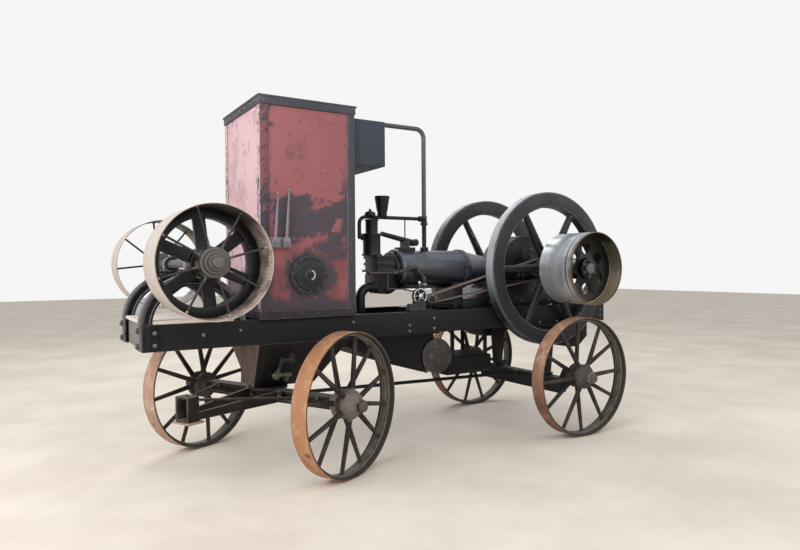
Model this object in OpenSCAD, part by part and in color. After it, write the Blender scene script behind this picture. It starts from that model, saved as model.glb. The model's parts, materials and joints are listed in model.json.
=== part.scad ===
// Portable oil engine on a four-wheeled steel wagon, with a tall cooling tower.
// Lengths are millimetres, +X points to the drawbar end, +Y to the belt pulley side, +Z up.
// Every piece is drawn from the point on the floor below the front axle's middle,
// and placed() then shifts it so that the origin is under the middle of the whole box.

/* [Wheels] */
// Diameter over the steel tyre
wheel_d = 1040; // [900:10:1200]
// Width of the tyre
tyre_w = 132; // [100:2:170]
// Thickness of the tyre
tyre_t = 15; // [10:1:25]
// Width of the rim ring inside the tyre
rim_w = 66; // [40:2:90]
// Thickness of the rim ring
rim_t = 15; // [10:1:25]
// Number of spokes in a wheel
spoke_count = 12; // [8:2:16]
// Spoke diameter at the hub
spoke_root_d = 42; // [30:1:50]
// Spoke diameter at the rim
spoke_tip_d = 30; // [20:1:36]
// Diameter of the hub's two spoke flanges
hub_d = 210; // [190:5:220]
// Diameter of the hub's barrel
barrel_d = 140; // [110:5:160]
// Middle of the tyre outwards to the outer spoke flange's middle
flange_out = 38; // [30:1:44]
// Middle of the tyre inwards to the inner spoke flange's middle
flange_in = 52; // [40:1:60]
// Thickness of the two spoke flanges
flange_w = 44; // [36:1:46]
// Hub length inwards from the middle of the tyre
hub_in = 118; // [90:1:140]
// Hub length outwards from the middle of the tyre, without its cap
hub_out = 112; // [100:1:140]
// Diameter of the hub cap
cap_d = 86; // [76:2:100]
// Length of the hub cap
cap_len = 50; // [20:1:70]
// Diameter of the axle pins
pin_d = 62; // [50:1:66]

/* [Running gear] */
// Distance between the axles
wheelbase = 2600; // [2400:10:3000]
// Front axle middle to the middle of a tyre
front_half_track = 775; // [740:5:850]
// Rear axle middle to the middle of a tyre
rear_half_track = 785; // [740:5:850]
// Angle at which the fore-carriage is parked
park_angle = 26; // [-26:1:28]
// Height of the front axle beam
axle_h = 92; // [80:2:100]
// Width of the axle beams
axle_w = 96; // [70:2:120]
// Thickness of the axle beams' web and flanges
axle_t = 18; // [12:1:26]
// Depth by which the rear axle's middle is dropped
axle_drop = 115; // [60:5:130]
// Height of the rear axle's dropped stretch
rear_beam_h = 140; // [110:5:150]
// Half length of the dropped stretch
drop_half = 560; // [480:10:580]
// Diameter of the turning plates over the front axle
turn_plate_d = 300; // [240:10:400]
// Thickness of each turning plate
turn_plate_t = 10; // [8:1:16]
// Diameter of the hand-forged braces from the drawbar to the axle
brace_d = 20; // [14:1:26]
// Front axle's middle to the foot of a brace
brace_y = 520; // [440:10:560]
// Diameter of the king pin
king_pin_d = 50; // [36:2:64]

/* [Drawbar] */
// Front axle middle to the open end of the drawbar socket
drawbar_reach = 815; // [700:5:1000]
// Length of the socket
socket_l = 96; // [90:2:140]
// Width of the socket
socket_w = 126; // [110:2:150]
// Height of the socket
socket_h = 172; // [120:2:190]
// Wall of the socket
socket_t = 12; // [8:1:16]
// Height of the socket's middle above the wheel centres
socket_rise = 25; // [0:5:40]
// Diameter of the draw pin's hole
draw_pin_d = 34; // [20:1:50]
// Height of the two drawbar arms at the axle
arm_h = 88; // [70:2:90]
// Height of the two drawbar arms at the socket
arm_tip_h = 52; // [40:2:70]
// Thickness of the two drawbar arms
arm_t = 22; // [12:1:30]
// Distance between the arms where they meet the axle
arm_spread = 300; // [240:10:560]

/* [Frame] */
// Height of the top of the rails
rail_top = 1130; // [1115:5:1160]
// Depth of the channel rails
rail_h = 180; // [160:5:200]
// Width of the rails' flanges
rail_flange = 66; // [50:2:80]
// Thickness of the rails
rail_t = 10; // [7:1:14]
// Middle of the frame to the outer face of a rail
rail_y = 385; // [376:1:389]
// Front axle to the front end of the rails
rail_front = 980; // [960:5:1000]
// Rear axle to the rear end of the rails
rail_tail = 755; // [660:5:900]
// Width of the cross channels
cross_w = 60; // [50:2:80]
// How far the front cross channel's face lies behind the rails' ends
nose_recess = 20; // [10:2:40]
// Thickness of the floor boards
board_t = 22; // [15:1:30]
// Number of floor boards between the outer two
board_count = 3; // [2:1:5]

/* [Front shaft] */
// Front axle to the front shaft
front_shaft_x = 647; // [635:1:655]
// Height of the front shaft
front_shaft_z = 1533; // [1520:1:1545]
// Diameter of the front shaft
front_shaft_d = 62; // [50:2:70]
// Radius of the cheeks' outer curve
cheek_r = 353; // [345:1:360]
// Width of the cheeks' curved arm
cheek_arm = 82; // [60:2:100]
// Width of the cheeks' flange
cheek_flange = 66; // [50:2:66]
// Thickness of the cheeks' flange and web
cheek_t = 16; // [12:1:22]
// Diameter of the front belt pulleys
front_pulley_d = 714; // [680:2:724]
// Face width of the near front pulley
front_pulley_w = 358; // [300:2:380]
// Face width of the far front pulley
far_pulley_w = 300; // [240:2:320]
// Thickness of the front pulleys' rims
front_pulley_t = 7; // [5:1:12]
// Middle of the frame to the inner edge of either front pulley
front_pulley_y = 600; // [590:2:640]
// Number of rod spokes in a front pulley
rod_count = 8; // [6:1:12]
// Diameter of the rod spokes
rod_d = 15; // [10:1:22]
// Diameter of the front pulley's hub
front_hub_d = 190; // [150:5:220]
// Radial depth of the rim of the cast front flywheel inside the near pulley
front_fly_rim = 64; // [40:2:90]
// Width of its rim
front_fly_w = 118; // [90:2:130]
// Width of its arms
front_arm_w = 78; // [60:2:110]
// Front pulley's open edge to the end of the shaft
front_shaft_out = 52; // [20:1:60]

/* [Cooling tower] */
// Front axle to the tower's front face
tower_front = 190; // [180:5:230]
// Length of the tower
tower_l = 740; // [700:5:780]
// Width of the tower
tower_w = 846; // [800:2:900]
// Height of the tower's sheet walls
tower_h = 1530; // [1400:10:1600]
// Thickness of the sheet walls
tower_t = 6; // [3:1:10]
// Height of the cap band
tower_cap_h = 64; // [40:2:90]
// Overhang of the cap band
tower_cap_out = 20; // [10:1:35]
// Leg of the corner angles
angle_leg = 60; // [30:2:80]
// Thickness of the corner angles
angle_t = 5; // [3:1:8]
// Front axle back to the middle of the round cover
cover_x = 165; // [140:5:200]
// Height of the middle of the round cover
cover_z = 1443; // [1420:1:1470]
// Diameter of the round cover
cover_d = 296; // [240:2:320]
// Number of the round cover's bolt lobes
cover_lobes = 12; // [8:1:16]
// Front axle forward to the lever bracket
levers_x = 52; // [30:2:70]
// Height of the lever bracket's middle
levers_z = 1678; // [1660:2:1700]
// Length of the front lever; the rear one is a tenth longer
lever_l = 345; // [300:5:380]

/* [Tanks] */
// Length of the header tank
header_l = 285; // [240:5:320]
// Height of the header tank
header_h = 355; // [300:5:400]
// Width of the header tank
header_w = 800; // [700:10:840]
// Tower's top edge down to the header tank's top
header_drop = 15; // [0:5:60]
// Length of the sump at the top
sump_l = 730; // [640:5:760]
// Width of the sump at the top
sump_w = 768; // [640:4:768]
// Length of the sump at the bottom
sump_foot_l = 500; // [440:5:560]
// Width of the sump at the bottom
sump_foot_w = 130; // [100:5:240]
// How far the sump's front leans back from its top to its foot
sump_lean = 58; // [20:2:80]
// Diameter of the fuel drum under the frame
drum_d = 300; // [260:2:310]
// Length of the fuel drum
drum_l = 600; // [500:10:640]
// Front axle back to the fuel drum's middle
drum_x = 1400; // [1395:5:1430]
// Height of the fuel drum's middle
drum_z = 735; // [720:5:760]
// Width of the silencer box
silencer_w = 570; // [520:10:600]
// Front axle back to the silencer box's front
silencer_x = 600; // [580:5:640]
// Height of the silencer box's underside in front of the drum
silencer_z = 606; // [595:1:640]
// Length of the plain box under the engine bed
under_box_l = 470; // [400:10:520]
// Height of the plain box's bottom above the wheel centres
under_box_rise = 12; // [6:1:40]
// Length of the rear tank
rear_tank_l = 320; // [260:10:360]
// Height of the rear tank
rear_tank_h = 245; // [200:5:280]

/* [Engine] */
// Height of the cylinder and of the crankshaft
crank_z = 1473; // [1465:1:1485]
// Front axle back to the crankshaft
crank_x = 2540; // [2520:5:2560]
// Diameter of the crankshaft
crank_d = 90; // [70:2:96]
// Diameter of the water jacket
jacket_d = 340; // [320:2:350]
// Front axle back to the front of the water jacket
jacket_x = 1140; // [1130:5:1150]
// Length of the water jacket
jacket_l = 690; // [670:5:700]
// Diameter of the vaporiser pot
pot_d = 150; // [130:2:156]
// Front axle back to the vaporiser's middle
pot_x = 930; // [920:2:940]
// Diameter of the hot-water pipe
pipe_d = 40; // [30:1:50]
// Front axle back to the hot-water pipe
pipe_x = 1465; // [1440:5:1480]
// Header tank's top up to the hot-water pipe's upper run
pipe_rise = 77; // [70:1:115]
// Diameter of the branch pipe
branch_d = 32; // [24:1:36]
// Height of the branch pipe
branch_z = 1925; // [1915:1:1935]
// Radius of the crank guard
guard_r = 315; // [300:1:325]
// Half width of the crank guard
guard_y = 148; // [120:2:160]
// Width of the engine bed
bed_w = 570; // [550:5:620]
// Crankshaft back to the bed's rear end
bed_tail = 500; // [460:5:540]
// Crankshaft forward to the cross channel under the bed
bed_channel = 520; // [480:5:560]
// Height of the branch pipe's lower end at the vaporiser
pot_inlet_z = 1750; // [1740:1:1765]

/* [Flywheels and belt pulley] */
// Diameter of the two flywheels
fly_d = 1400; // [1360:5:1420]
// Radial depth of the flywheels' rims
fly_rim = 138; // [110:2:150]
// Width of the flywheels' rims
fly_w = 104; // [90:2:120]
// Middle of the frame to the inner face of a flywheel
fly_y = 397; // [395:1:405]
// Number of flywheel arms
fly_arms = 6; // [5:1:8]
// Arm diameter at the flywheel's hub
fly_arm_root = 82; // [60:2:96]
// Arm diameter at the flywheel's rim
fly_arm_tip = 60; // [46:2:80]
// Diameter of the belt pulley
belt_pulley_d = 620; // [580:5:640]
// Face width of the belt pulley
belt_pulley_w = 375; // [300:5:400]
// Middle of the frame to the belt pulley's inner edge
belt_pulley_y = 655; // [645:5:680]
// Wall of the belt pulley
belt_pulley_t = 9; // [6:1:14]

/* [Hidden] */
$fn = 96;

// Clearances: a seat that only rests, and a shaft that runs in its bearing
seat = 0.3;
run_fit = 0.06;

wheel_r = wheel_d / 2;
rim_r = wheel_r - tyre_t;
rail_foot = rail_top - rail_h;
rail_back = -(wheelbase + rail_tail);
rail_in = rail_y - rail_t;
tower_back = tower_front - tower_l;
nose_front = rail_front + cheek_t;
guard_t = 8;
hub_overhang = 60;

// The overall box: its front is the cheeks' nose bolts, its back the rails' ends,
// its left the belt pulley and its right the rear edge of the turned right wheel
bolt_head = 22;
socket_z = wheel_r + socket_rise;
sump_z = wheel_r + axle_h / 2 + 2 * turn_plate_t + 2 * seat;
header_top = rail_top + tower_h - header_drop;
pipe_z = header_top + pipe_rise;
bearing_foot = crank_z - 111;
box_front = nose_front + bolt_head;
box_left = belt_pulley_y + belt_pulley_w;
box_right = (front_half_track + tyre_w / 2) * cos(park_angle) + wheel_r * abs(sin(park_angle));
front_axle_x = -(box_front + rail_back) / 2;
centre_y = (box_right - box_left) / 2;

// Shift from the front axle's middle to the middle of the whole box
module placed() {
    translate([front_axle_x, centre_y, 0]) children();
}

// Parts of the turning fore-carriage, at the angle at which it is parked
module steered() {
    placed() rotate([0, 0, park_angle]) children();
}

// A round bar or taper from one point to another
module rod(from, to, d1, d2) {
    v = to - from;
    span = norm(v);
    translate(from)
        rotate([0, acos(v.z / span), atan2(v.y, v.x)])
            cylinder(h = span, d1 = d1, d2 = d2);
}

// An outline in X and Z made as thick as y0 to y1
module across(y0, y1) {
    translate([0, y1, 0]) rotate([90, 0, 0]) linear_extrude(y1 - y0) children();
}

// An outline in Y and Z made as long as x0 to x1
module along(x0, x1) {
    translate([x0, 0, 0]) rotate([90, 0, 90]) linear_extrude(x1 - x0) children();
}

// A round piece whose axis lies along Y, from y0 to y1
module turned_y(x, z, y0, y1, d) {
    translate([x, y0, z]) rotate([-90, 0, 0]) cylinder(h = y1 - y0, d = d);
}

// A round piece whose axis lies along X, from x0 to x1, d0 wide there and d1 at x1
module turned_x(x0, x1, y, z, d0, d1) {
    translate([x0, y, z]) rotate([0, 90, 0]) cylinder(h = x1 - x0, d1 = d0, d2 = d1);
}

// A quarter bend of pipe in the X and Z plane, from +X (of its centre) round to +Z
module bend(x, y, z, r, d, start) {
    translate([x, y, z]) rotate([90, 0, 0]) rotate([0, 0, start])
        rotate_extrude(angle = 90) translate([r, 0]) circle(d = d);
}

// A plain box from one corner to the other
module block(low, high) {
    translate(low) cube(high - low);
}

// Flat steel tyre
module tyre() {
    rotate([-90, 0, 0])
        rotate_extrude()
            translate([rim_r + seat, -tyre_w / 2]) square([tyre_t - seat, tyre_w]);
}

// Half section of the cast hub, from its inner end to its closed cap
module hub_section() {
    f = flange_w / 2;
    neck = barrel_d / 2 - 8;
    polygon([[0, -hub_in], [neck, -hub_in], [neck, -flange_in - f],
             [hub_d / 2 - 5, -flange_in - f], [hub_d / 2, -flange_in - f + 5],
             [hub_d / 2, -flange_in + f], [barrel_d / 2, -flange_in + f],
             [barrel_d / 2, flange_out - f], [hub_d / 2, flange_out - f],
             [hub_d / 2, flange_out + f - 8], [hub_d / 2 - 6, flange_out + f],
             [cap_d / 2 + 16, hub_out - 16], [cap_d / 2 + 7, hub_out - 8],
             [cap_d / 2 + 7, hub_out + 6], [cap_d / 2, hub_out + 6],
             [cap_d / 2 - 4, hub_out + cap_len - 6], [cap_d / 2 - 12, hub_out + cap_len],
             [0, hub_out + cap_len]]);
}

// Rim ring, staggered spokes and cast hub with its closed cap; out = 1 on the left side
module spoked_wheel(out, phase) {
    pin_depth = hub_in + hub_out - 20;
    mirror([0, out > 0 ? 0 : 1, 0]) difference() {
        union() {
            rotate([-90, 0, 0]) {
                rotate_extrude() translate([rim_r - rim_t, -rim_w / 2]) square([rim_t, rim_w]);
                rotate_extrude() hub_section();
            }
            for (i = [0 : spoke_count - 1]) {
                a = phase + i * 360 / spoke_count;
                s = i % 2 == 0 ? 1 : -1;
                y = s > 0 ? flange_out : -flange_in;
                foot = [sin(a) * barrel_d * 0.42, y, cos(a) * barrel_d * 0.42];
                tip = [sin(a) * (rim_r - rim_t / 2), s * rim_w / 6, cos(a) * (rim_r - rim_t / 2)];
                rod(foot, tip, spoke_root_d, spoke_tip_d);
            }
        }
        turned_y(0, 0, -hub_in - 1, pin_depth - hub_in, pin_d + 2 * run_fit);
    }
}

// Channel rail with its flanges turned inwards; side = 1 on the left
module rail(side) {
    color([0.12, 0.12, 0.13]) placed() along(rail_back, rail_front)
        difference() {
            translate([side > 0 ? rail_y - rail_flange : -rail_y, rail_foot])
                square([rail_flange, rail_h]);
            translate([side > 0 ? rail_y - rail_flange - 1 : -rail_in, rail_foot + rail_t])
                square([rail_flange - rail_t + 1, rail_h - 2 * rail_t]);
        }
}

module rails() {
    for (side = [-1, 1]) rail(side);
}

// Cross channel at the nose, its flanges turned backwards
module front_crossmember() {
    web_x = rail_front - nose_recess;
    half = rail_y - rail_flange - seat;
    color([0.55, 0.55, 0.56]) placed() across(-half, half) difference() {
        translate([web_x - cross_w, rail_foot]) square([cross_w, rail_h]);
        translate([web_x - cross_w - 1, rail_foot + rail_t])
            square([cross_w - rail_t + 1, rail_h - 2 * rail_t]);
    }
}

// Cross channels under the tower, the engine and the tail
cross_x = [tower_front + 140, tower_back + 50, -drum_x, -(crank_x - bed_channel), rail_back + 35];
module crossmembers() {
    half = rail_y - rail_flange - seat;
    color([0.13, 0.13, 0.14]) placed()
        for (x = cross_x) across(-half, half)
            difference() {
                translate([x - cross_w / 2, rail_foot]) square([cross_w, rail_h]);
                translate([x - cross_w / 2 + rail_t, rail_foot + rail_t])
                    square([cross_w, rail_h - 2 * rail_t]);
            }
}

// Boards laid lengthwise between the cheeks, from the nose to the first cross channel
module floor_boards() {
    gap = 5;
    half = rail_y - rail_flange - gap;
    w = (2 * half - (board_count - 1) * gap) / board_count;
    inner_back = cross_x[0] - cross_w / 2;
    leg_front = front_shaft_x + cheek_r - cheek_arm;
    leg_back = front_shaft_x - cheek_r + cheek_arm;
    color([0.78, 0.73, 0.66]) placed() {
        for (i = [0 : board_count - 1])
            translate([inner_back, -half + i * (w + gap), rail_top + seat])
                cube([rail_front - inner_back, w, board_t]);
        for (s = [-1, 1])
            translate([leg_back + gap, s > 0 ? half + gap : -half - gap - rail_flange,
                       rail_top + seat])
                cube([leg_front - leg_back - 2 * gap, rail_flange, board_t]);
    }
}

// Cast cheek: an arch over the rail with a flange round its outer curve, and a nose plate
cheek_z = 1110;
bearing_seat = cheek_z + cheek_r - 8;
module cheek_outline(r_out, r_in) {
    difference() {
        union() {
            translate([front_shaft_x, cheek_z]) circle(r = r_out);
            if (r_out == cheek_r)
                translate([front_shaft_x - 95, bearing_seat - 60]) square([190, 60]);
        }
        translate([front_shaft_x, cheek_z]) circle(r = r_in);
        translate([front_shaft_x - 2 * cheek_r, cheek_z - 2 * cheek_r])
            square([4 * cheek_r, 2 * cheek_r + rail_top + seat - cheek_z]);
        translate([front_shaft_x - cheek_r, bearing_seat]) square([2 * cheek_r, cheek_r]);
    }
}

module front_cheek(side) {
    y0 = rail_y - cheek_flange;
    web_y = rail_y - cheek_t - 12;
    color([0.10, 0.11, 0.12]) placed() mirror([0, side > 0 ? 0 : 1, 0]) {
        across(y0, rail_y) cheek_outline(cheek_r, cheek_r - cheek_t);
        across(web_y, web_y + cheek_t) cheek_outline(cheek_r, cheek_r - cheek_arm);
        across(y0, rail_y) cheek_outline(cheek_r - cheek_arm + cheek_t, cheek_r - cheek_arm);
        block([front_shaft_x - 95, y0, bearing_seat - 18], [front_shaft_x + 95, rail_y, bearing_seat]);
        block([rail_front + seat, y0, rail_foot + 8], [nose_front, rail_y, rail_top + 40]);
        for (z = [rail_foot + 40, rail_top - 36])
            turned_x(nose_front, box_front, rail_y - cheek_flange / 2, z, 30, 24);
    }
}

module front_cheeks() {
    for (side = [-1, 1]) front_cheek(side);
}

// Split bearings on top of the cheeks
module front_bearings() {
    y0 = rail_y - cheek_flange;
    color([0.12, 0.13, 0.14]) placed()
        for (s = [0, 1]) mirror([0, s, 0])
            difference() {
                union() {
                    block([front_shaft_x - 92, y0, bearing_seat + seat],
                          [front_shaft_x + 92, rail_y, bearing_seat + 26]);
                    block([front_shaft_x - 56, y0 + 4, bearing_seat + 20],
                          [front_shaft_x + 56, rail_y - 4, front_shaft_z]);
                    turned_y(front_shaft_x, front_shaft_z, y0 - 8, rail_y + 8, 112);
                }
                turned_y(front_shaft_x, front_shaft_z, y0 - 9, rail_y + 9,
                         front_shaft_d + 2 * run_fit);
            }
}

// Sheet-steel box of the cooling tower, closed at the bottom and under its cap
module cooling_tower() {
    z0 = rail_top + seat;
    color([0.65, 0.31, 0.29]) placed() difference() {
        block([tower_back, -tower_w / 2, z0], [tower_front, tower_w / 2, z0 + tower_h]);
        block([tower_back + tower_t, -tower_w / 2 + tower_t, z0 + tower_t],
              [tower_front - tower_t, tower_w / 2 - tower_t, z0 + tower_h + 1]);
    }
}

// Cap band with its lid set a little below the rim
tower_top = rail_top + tower_h;
module tower_cap() {
    lid = tower_cap_out;
    band = lid * 0.6;
    lid_t = 14;
    z0 = tower_top + 2 * seat;
    z1 = z0 + tower_cap_h;
    color([0.20, 0.22, 0.24]) placed() difference() {
        union() {
            block([tower_back - band, -tower_w / 2 - band, z0],
                  [tower_front + band, tower_w / 2 + band, z1 - lid_t + 1]);
            block([tower_back - lid, -tower_w / 2 - lid, z1 - lid_t],
                  [tower_front + lid, tower_w / 2 + lid, z1]);
        }
        block([tower_back, -tower_w / 2, z1 - 2 * lid_t], [tower_front, tower_w / 2, z1 + 1]);
    }
}

// Angle irons up the tower's four corners
module tower_angles() {
    mid = (tower_front + tower_back) / 2;
    h = tower_h - 2;
    color([0.18, 0.20, 0.22]) placed()
        for (sx = [0, 1], sy = [0, 1])
            translate([mid, 0, rail_top + seat]) mirror([sx, 0, 0]) mirror([0, sy, 0])
                difference() {
                    translate([tower_l / 2 - angle_leg, tower_w / 2 - angle_leg, 0])
                        cube([angle_leg + angle_t + seat, angle_leg + angle_t + seat, h]);
                    translate([tower_l / 2 - angle_leg - 1, tower_w / 2 - angle_leg - 1, -1])
                        cube([angle_leg + 1 + seat, angle_leg + 1 + seat, h + 2]);
                }
}

// Cast round cover with bolt lobes round its edge and a raised centre
module round_cover() {
    face = tower_w / 2 + seat;
    color([0.10, 0.11, 0.12]) placed() {
        turned_y(-cover_x, cover_z, face, face + 24, cover_d - 14);
        for (i = [0 : cover_lobes - 1])
            turned_y(-cover_x + (cover_d / 2 - 20) * cos(i * 360 / cover_lobes),
                     cover_z + (cover_d / 2 - 20) * sin(i * 360 / cover_lobes),
                     face, face + 32, 40);
        translate([-cover_x, face + 22, cover_z]) rotate([-90, 0, 0])
            cylinder(h = 22, d1 = cover_d - 60, d2 = cover_d - 84);
        turned_y(-cover_x, cover_z, face + 40, face + 52, cover_d * 0.26);
        translate([-cover_x, face + 48, cover_z]) rotate([-90, 0, 0]) rotate([0, 0, 100])
            rotate_extrude(angle = 160) translate([cover_d * 0.11, 0]) circle(d = 14);
    }
}

// Two tapered hand levers with knobs, each in its own block of a small bracket
lever_gap = 84;
module control_levers() {
    face = tower_w / 2 + seat;
    color([0.55, 0.56, 0.57]) placed() {
        block([levers_x - 76, face, levers_z - 40], [levers_x + 76, face + 9, levers_z + 40]);
        for (s = [-1, 1]) {
            l = lever_l * (s > 0 ? 1 : 1.1);
            foot = [levers_x + s * lever_gap / 2, face + 24, levers_z];
            top = foot + [-22, 8, l];
            block([foot.x - 27, face + 8, levers_z - 32], [foot.x + 27, face + 40, levers_z + 32]);
            rod(foot, top, 28, 13);
            translate(top) sphere(d = 24);
        }
    }
}

// Header tank hung on the tower's back
module header_tank() {
    color([0.20, 0.28, 0.29]) placed()
        block([tower_back - angle_t - 2 * seat - header_l, -header_w / 2, header_top - header_h],
              [tower_back - angle_t - 2 * seat, header_w / 2, header_top]);
}

// Hot-water pipe from the jacket up and forward into the header tank
pipe_bend = 80;
tank_inlet_x = 740;
drop_r = 48;
module hot_water_pipe() {
    top_end = -(tank_inlet_x + drop_r);
    foot_z = crank_z + jacket_d / 2 - 8;
    color([0.58, 0.62, 0.64]) placed() {
        difference() {
            translate([-pipe_x, 0, foot_z]) cylinder(h = 30, d = pipe_d + 34);
            turned_x(-pipe_x - 99, -pipe_x + 99, 0, crank_z, jacket_d + 2 * seat, jacket_d + 2 * seat);
        }
        translate([-pipe_x, 0, foot_z + 12]) cylinder(h = pipe_z - pipe_bend - foot_z - 12, d = pipe_d);
        translate([-pipe_x, 0, branch_z - 26]) cylinder(h = 52, d = pipe_d + 12);
        bend(-pipe_x + pipe_bend, 0, pipe_z - pipe_bend, pipe_bend, pipe_d, 90);
        turned_x(-pipe_x + pipe_bend, top_end, 0, pipe_z, pipe_d, pipe_d);
        bend(top_end, 0, pipe_z - drop_r, drop_r, pipe_d, 0);
        translate([-tank_inlet_x, 0, header_top + seat])
            cylinder(h = pipe_z - drop_r - header_top - seat, d = pipe_d);
    }
}

// Branch pipe forward to the vaporiser's side
branch_bend = 60;
branch_end_x = 812;
module branch_pipe() {
    stop = pipe_d / 2 + 6 + seat;
    color([0.16, 0.17, 0.18]) placed() {
        turned_x(-pipe_x + stop, -branch_end_x - branch_bend, 0, branch_z, branch_d, branch_d);
        bend(-branch_end_x - branch_bend, 0, branch_z - branch_bend, branch_bend, branch_d, 0);
        translate([-branch_end_x, 0, pot_inlet_z])
            cylinder(h = branch_z - branch_bend - pot_inlet_z, d = branch_d);
        translate([-branch_end_x, 0, pot_inlet_z]) sphere(d = branch_d);
        turned_x(-pot_x + pot_d / 2 + seat, -branch_end_x, 0, pot_inlet_z, branch_d, branch_d);
    }
}

// Sump under the tower: a plate hopper that narrows to the fore-carriage
sump_front = tower_front + 10;
sump_top = rail_foot - seat;
sump_slope = atan((sump_w - sump_foot_w) / 2 / (sump_top - sump_z));
module sump_tank() {
    foot = sump_front - sump_lean;
    leg = 52;
    color([0.14, 0.14, 0.15]) placed() {
        intersection() {
            across(-sump_w, sump_w)
                polygon([[foot - sump_foot_l, sump_z], [foot, sump_z],
                         [sump_front, sump_top], [sump_front - sump_l, sump_top]]);
            along(-sump_l * 2, sump_l * 2)
                polygon([[-sump_foot_w / 2, sump_z], [sump_foot_w / 2, sump_z],
                         [sump_w / 2, sump_top], [-sump_w / 2, sump_top]]);
        }
        // Flat corner straps on the two sloping sides
        for (s = [0, 1]) mirror([0, s, 0]) intersection() {
            across(-sump_w, sump_w)
                polygon([[foot - leg, sump_z], [foot, sump_z],
                         [sump_front, sump_top], [sump_front - leg, sump_top]]);
            along(-sump_l * 2, sump_l * 2)
                polygon([[sump_foot_w / 2 - 20, sump_z], [sump_foot_w / 2 + 9, sump_z],
                         [sump_w / 2 + 9, sump_top], [sump_w / 2 - 20, sump_top]]);
        }
    }
}

// Draw-off cock on the sump's sloping side: a stub, an elbow, and the cock at the drop's foot
cock_x = -72;
cock_z = rail_foot - 110;
module sump_cock() {
    y = sump_foot_w / 2 + (cock_z - sump_z) * tan(sump_slope) + 0.6;
    off = 36;
    fore = 74;
    drop = 168;
    color([0.33, 0.34, 0.31]) placed() translate([cock_x, y, cock_z]) rotate([-sump_slope, 0, 0]) {
        turned_y(0, 0, 0, 12, 74);
        turned_y(0, 0, 0, off + 21, 40);
        turned_x(0, fore, off, 0, 28, 28);
        translate([fore, off, -21]) cylinder(h = 42, d = 40);
        translate([fore, off, -drop]) cylinder(h = drop, d = 28);
        translate([fore, off, -drop - 26]) cylinder(h = 48, d = 52);
        turned_x(fore - 112, fore + 36, off, -drop - 2, 30, 30);
        translate([fore - 84, off, -drop - 62]) cylinder(h = 66, d = 36);
    }
}

// Plate and king pin under the sump
king_top = sump_z - seat;
hanger_x = 330;
reach_front_z = sump_z - 90;
module king_plate() {
    color([0.15, 0.15, 0.16]) placed() {
        translate([0, 0, king_top - turn_plate_t]) cylinder(h = turn_plate_t, d = turn_plate_d);
        translate([0, 0, wheel_r - axle_h / 2 - 34])
            cylinder(h = king_top - wheel_r + axle_h / 2 + 34 - 4, d = king_pin_d);
        translate([0, 0, wheel_r - axle_h / 2 - 34]) cylinder(h = 22, d = king_pin_d + 34);
        block([-hanger_x, -22, reach_front_z - 20], [-hanger_x + 30, 22, king_top]);
    }
}

// Reach rod from the sump's hanger back to the rear axle's front face
rear_beam_top = wheel_r - axle_drop + rear_beam_h / 2;
module reach_rod() {
    x0 = -hanger_x - seat;
    x1 = -wheelbase + axle_w / 2 + seat;
    rear_z = rear_beam_top - 24;
    color([0.13, 0.13, 0.14]) placed() {
        rod([x0, 0, reach_front_z], [x1 + 4, 0, rear_z], 30, 30);
        block([x1, -32, rear_z - 26], [x1 + 26, 32, rear_z + 22]);
    }
}

// Sloping silencer box under the cylinder end of the frame, hollowed round the drum
module silencer_box() {
    top = rail_foot - seat;
    back = drum_x - 31;
    color([0.17, 0.15, 0.15]) placed() difference() {
        union() {
            across(-silencer_w / 2, silencer_w / 2)
                polygon([[-silencer_x, top], [-silencer_x - 20, top - 100], [-silencer_x - 160, top - 185],
                         [-(silencer_x + back) / 2, silencer_z + 82], [-back + 60, silencer_z - 12],
                         [-back, silencer_z], [-back, top]]);
            block([-back, -rail_y + 12, top - 12], [-silencer_x + 12, rail_y - 12, top]);
        }
        turned_y(-drum_x, drum_z, -drum_l, drum_l, drum_d + 28);
    }
}

// Exhaust pipe from the head, bent down into the silencer box
exhaust_y = 40;
exhaust_z = 1330;
exhaust_start = -(pot_x - 22);
module exhaust_pipe() {
    d = 78;
    r = 90;
    x1 = exhaust_start + 22;
    color([0.16, 0.18, 0.21]) placed() {
        turned_x(exhaust_start + seat, exhaust_start + 14, exhaust_y, exhaust_z, 104, 104);
        turned_x(exhaust_start + seat, x1, exhaust_y, exhaust_z, d, d);
        bend(x1, exhaust_y, exhaust_z - r, r, d, 0);
        translate([x1 + r, exhaust_y, rail_foot]) cylinder(h = exhaust_z - r - rail_foot, d = d);
    }
}

// Fuel drum across the frame, with rims at its ends and two flat hangers
module fuel_drum() {
    color([0.24, 0.22, 0.21]) placed() {
        for (s = [-1, 1]) {
            turned_y(-drum_x, drum_z, s * 170 - 22, s * 170 + 22, drum_d);
            block([-drum_x - 26, s * 170 - 22, drum_z], [-drum_x + 26, s * 170 + 22, rail_foot - seat]);
        }
        turned_y(-drum_x, drum_z, -drum_l / 2, drum_l / 2, drum_d - 10);
        for (s = [-1, 1])
            turned_y(-drum_x, drum_z, s * (drum_l / 2 - 16) - 8, s * (drum_l / 2 - 16) + 8, drum_d);
        turned_y(-drum_x, drum_z, drum_l / 2 - 1, drum_l / 2 + 12, drum_d * 0.55);
    }
}

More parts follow.
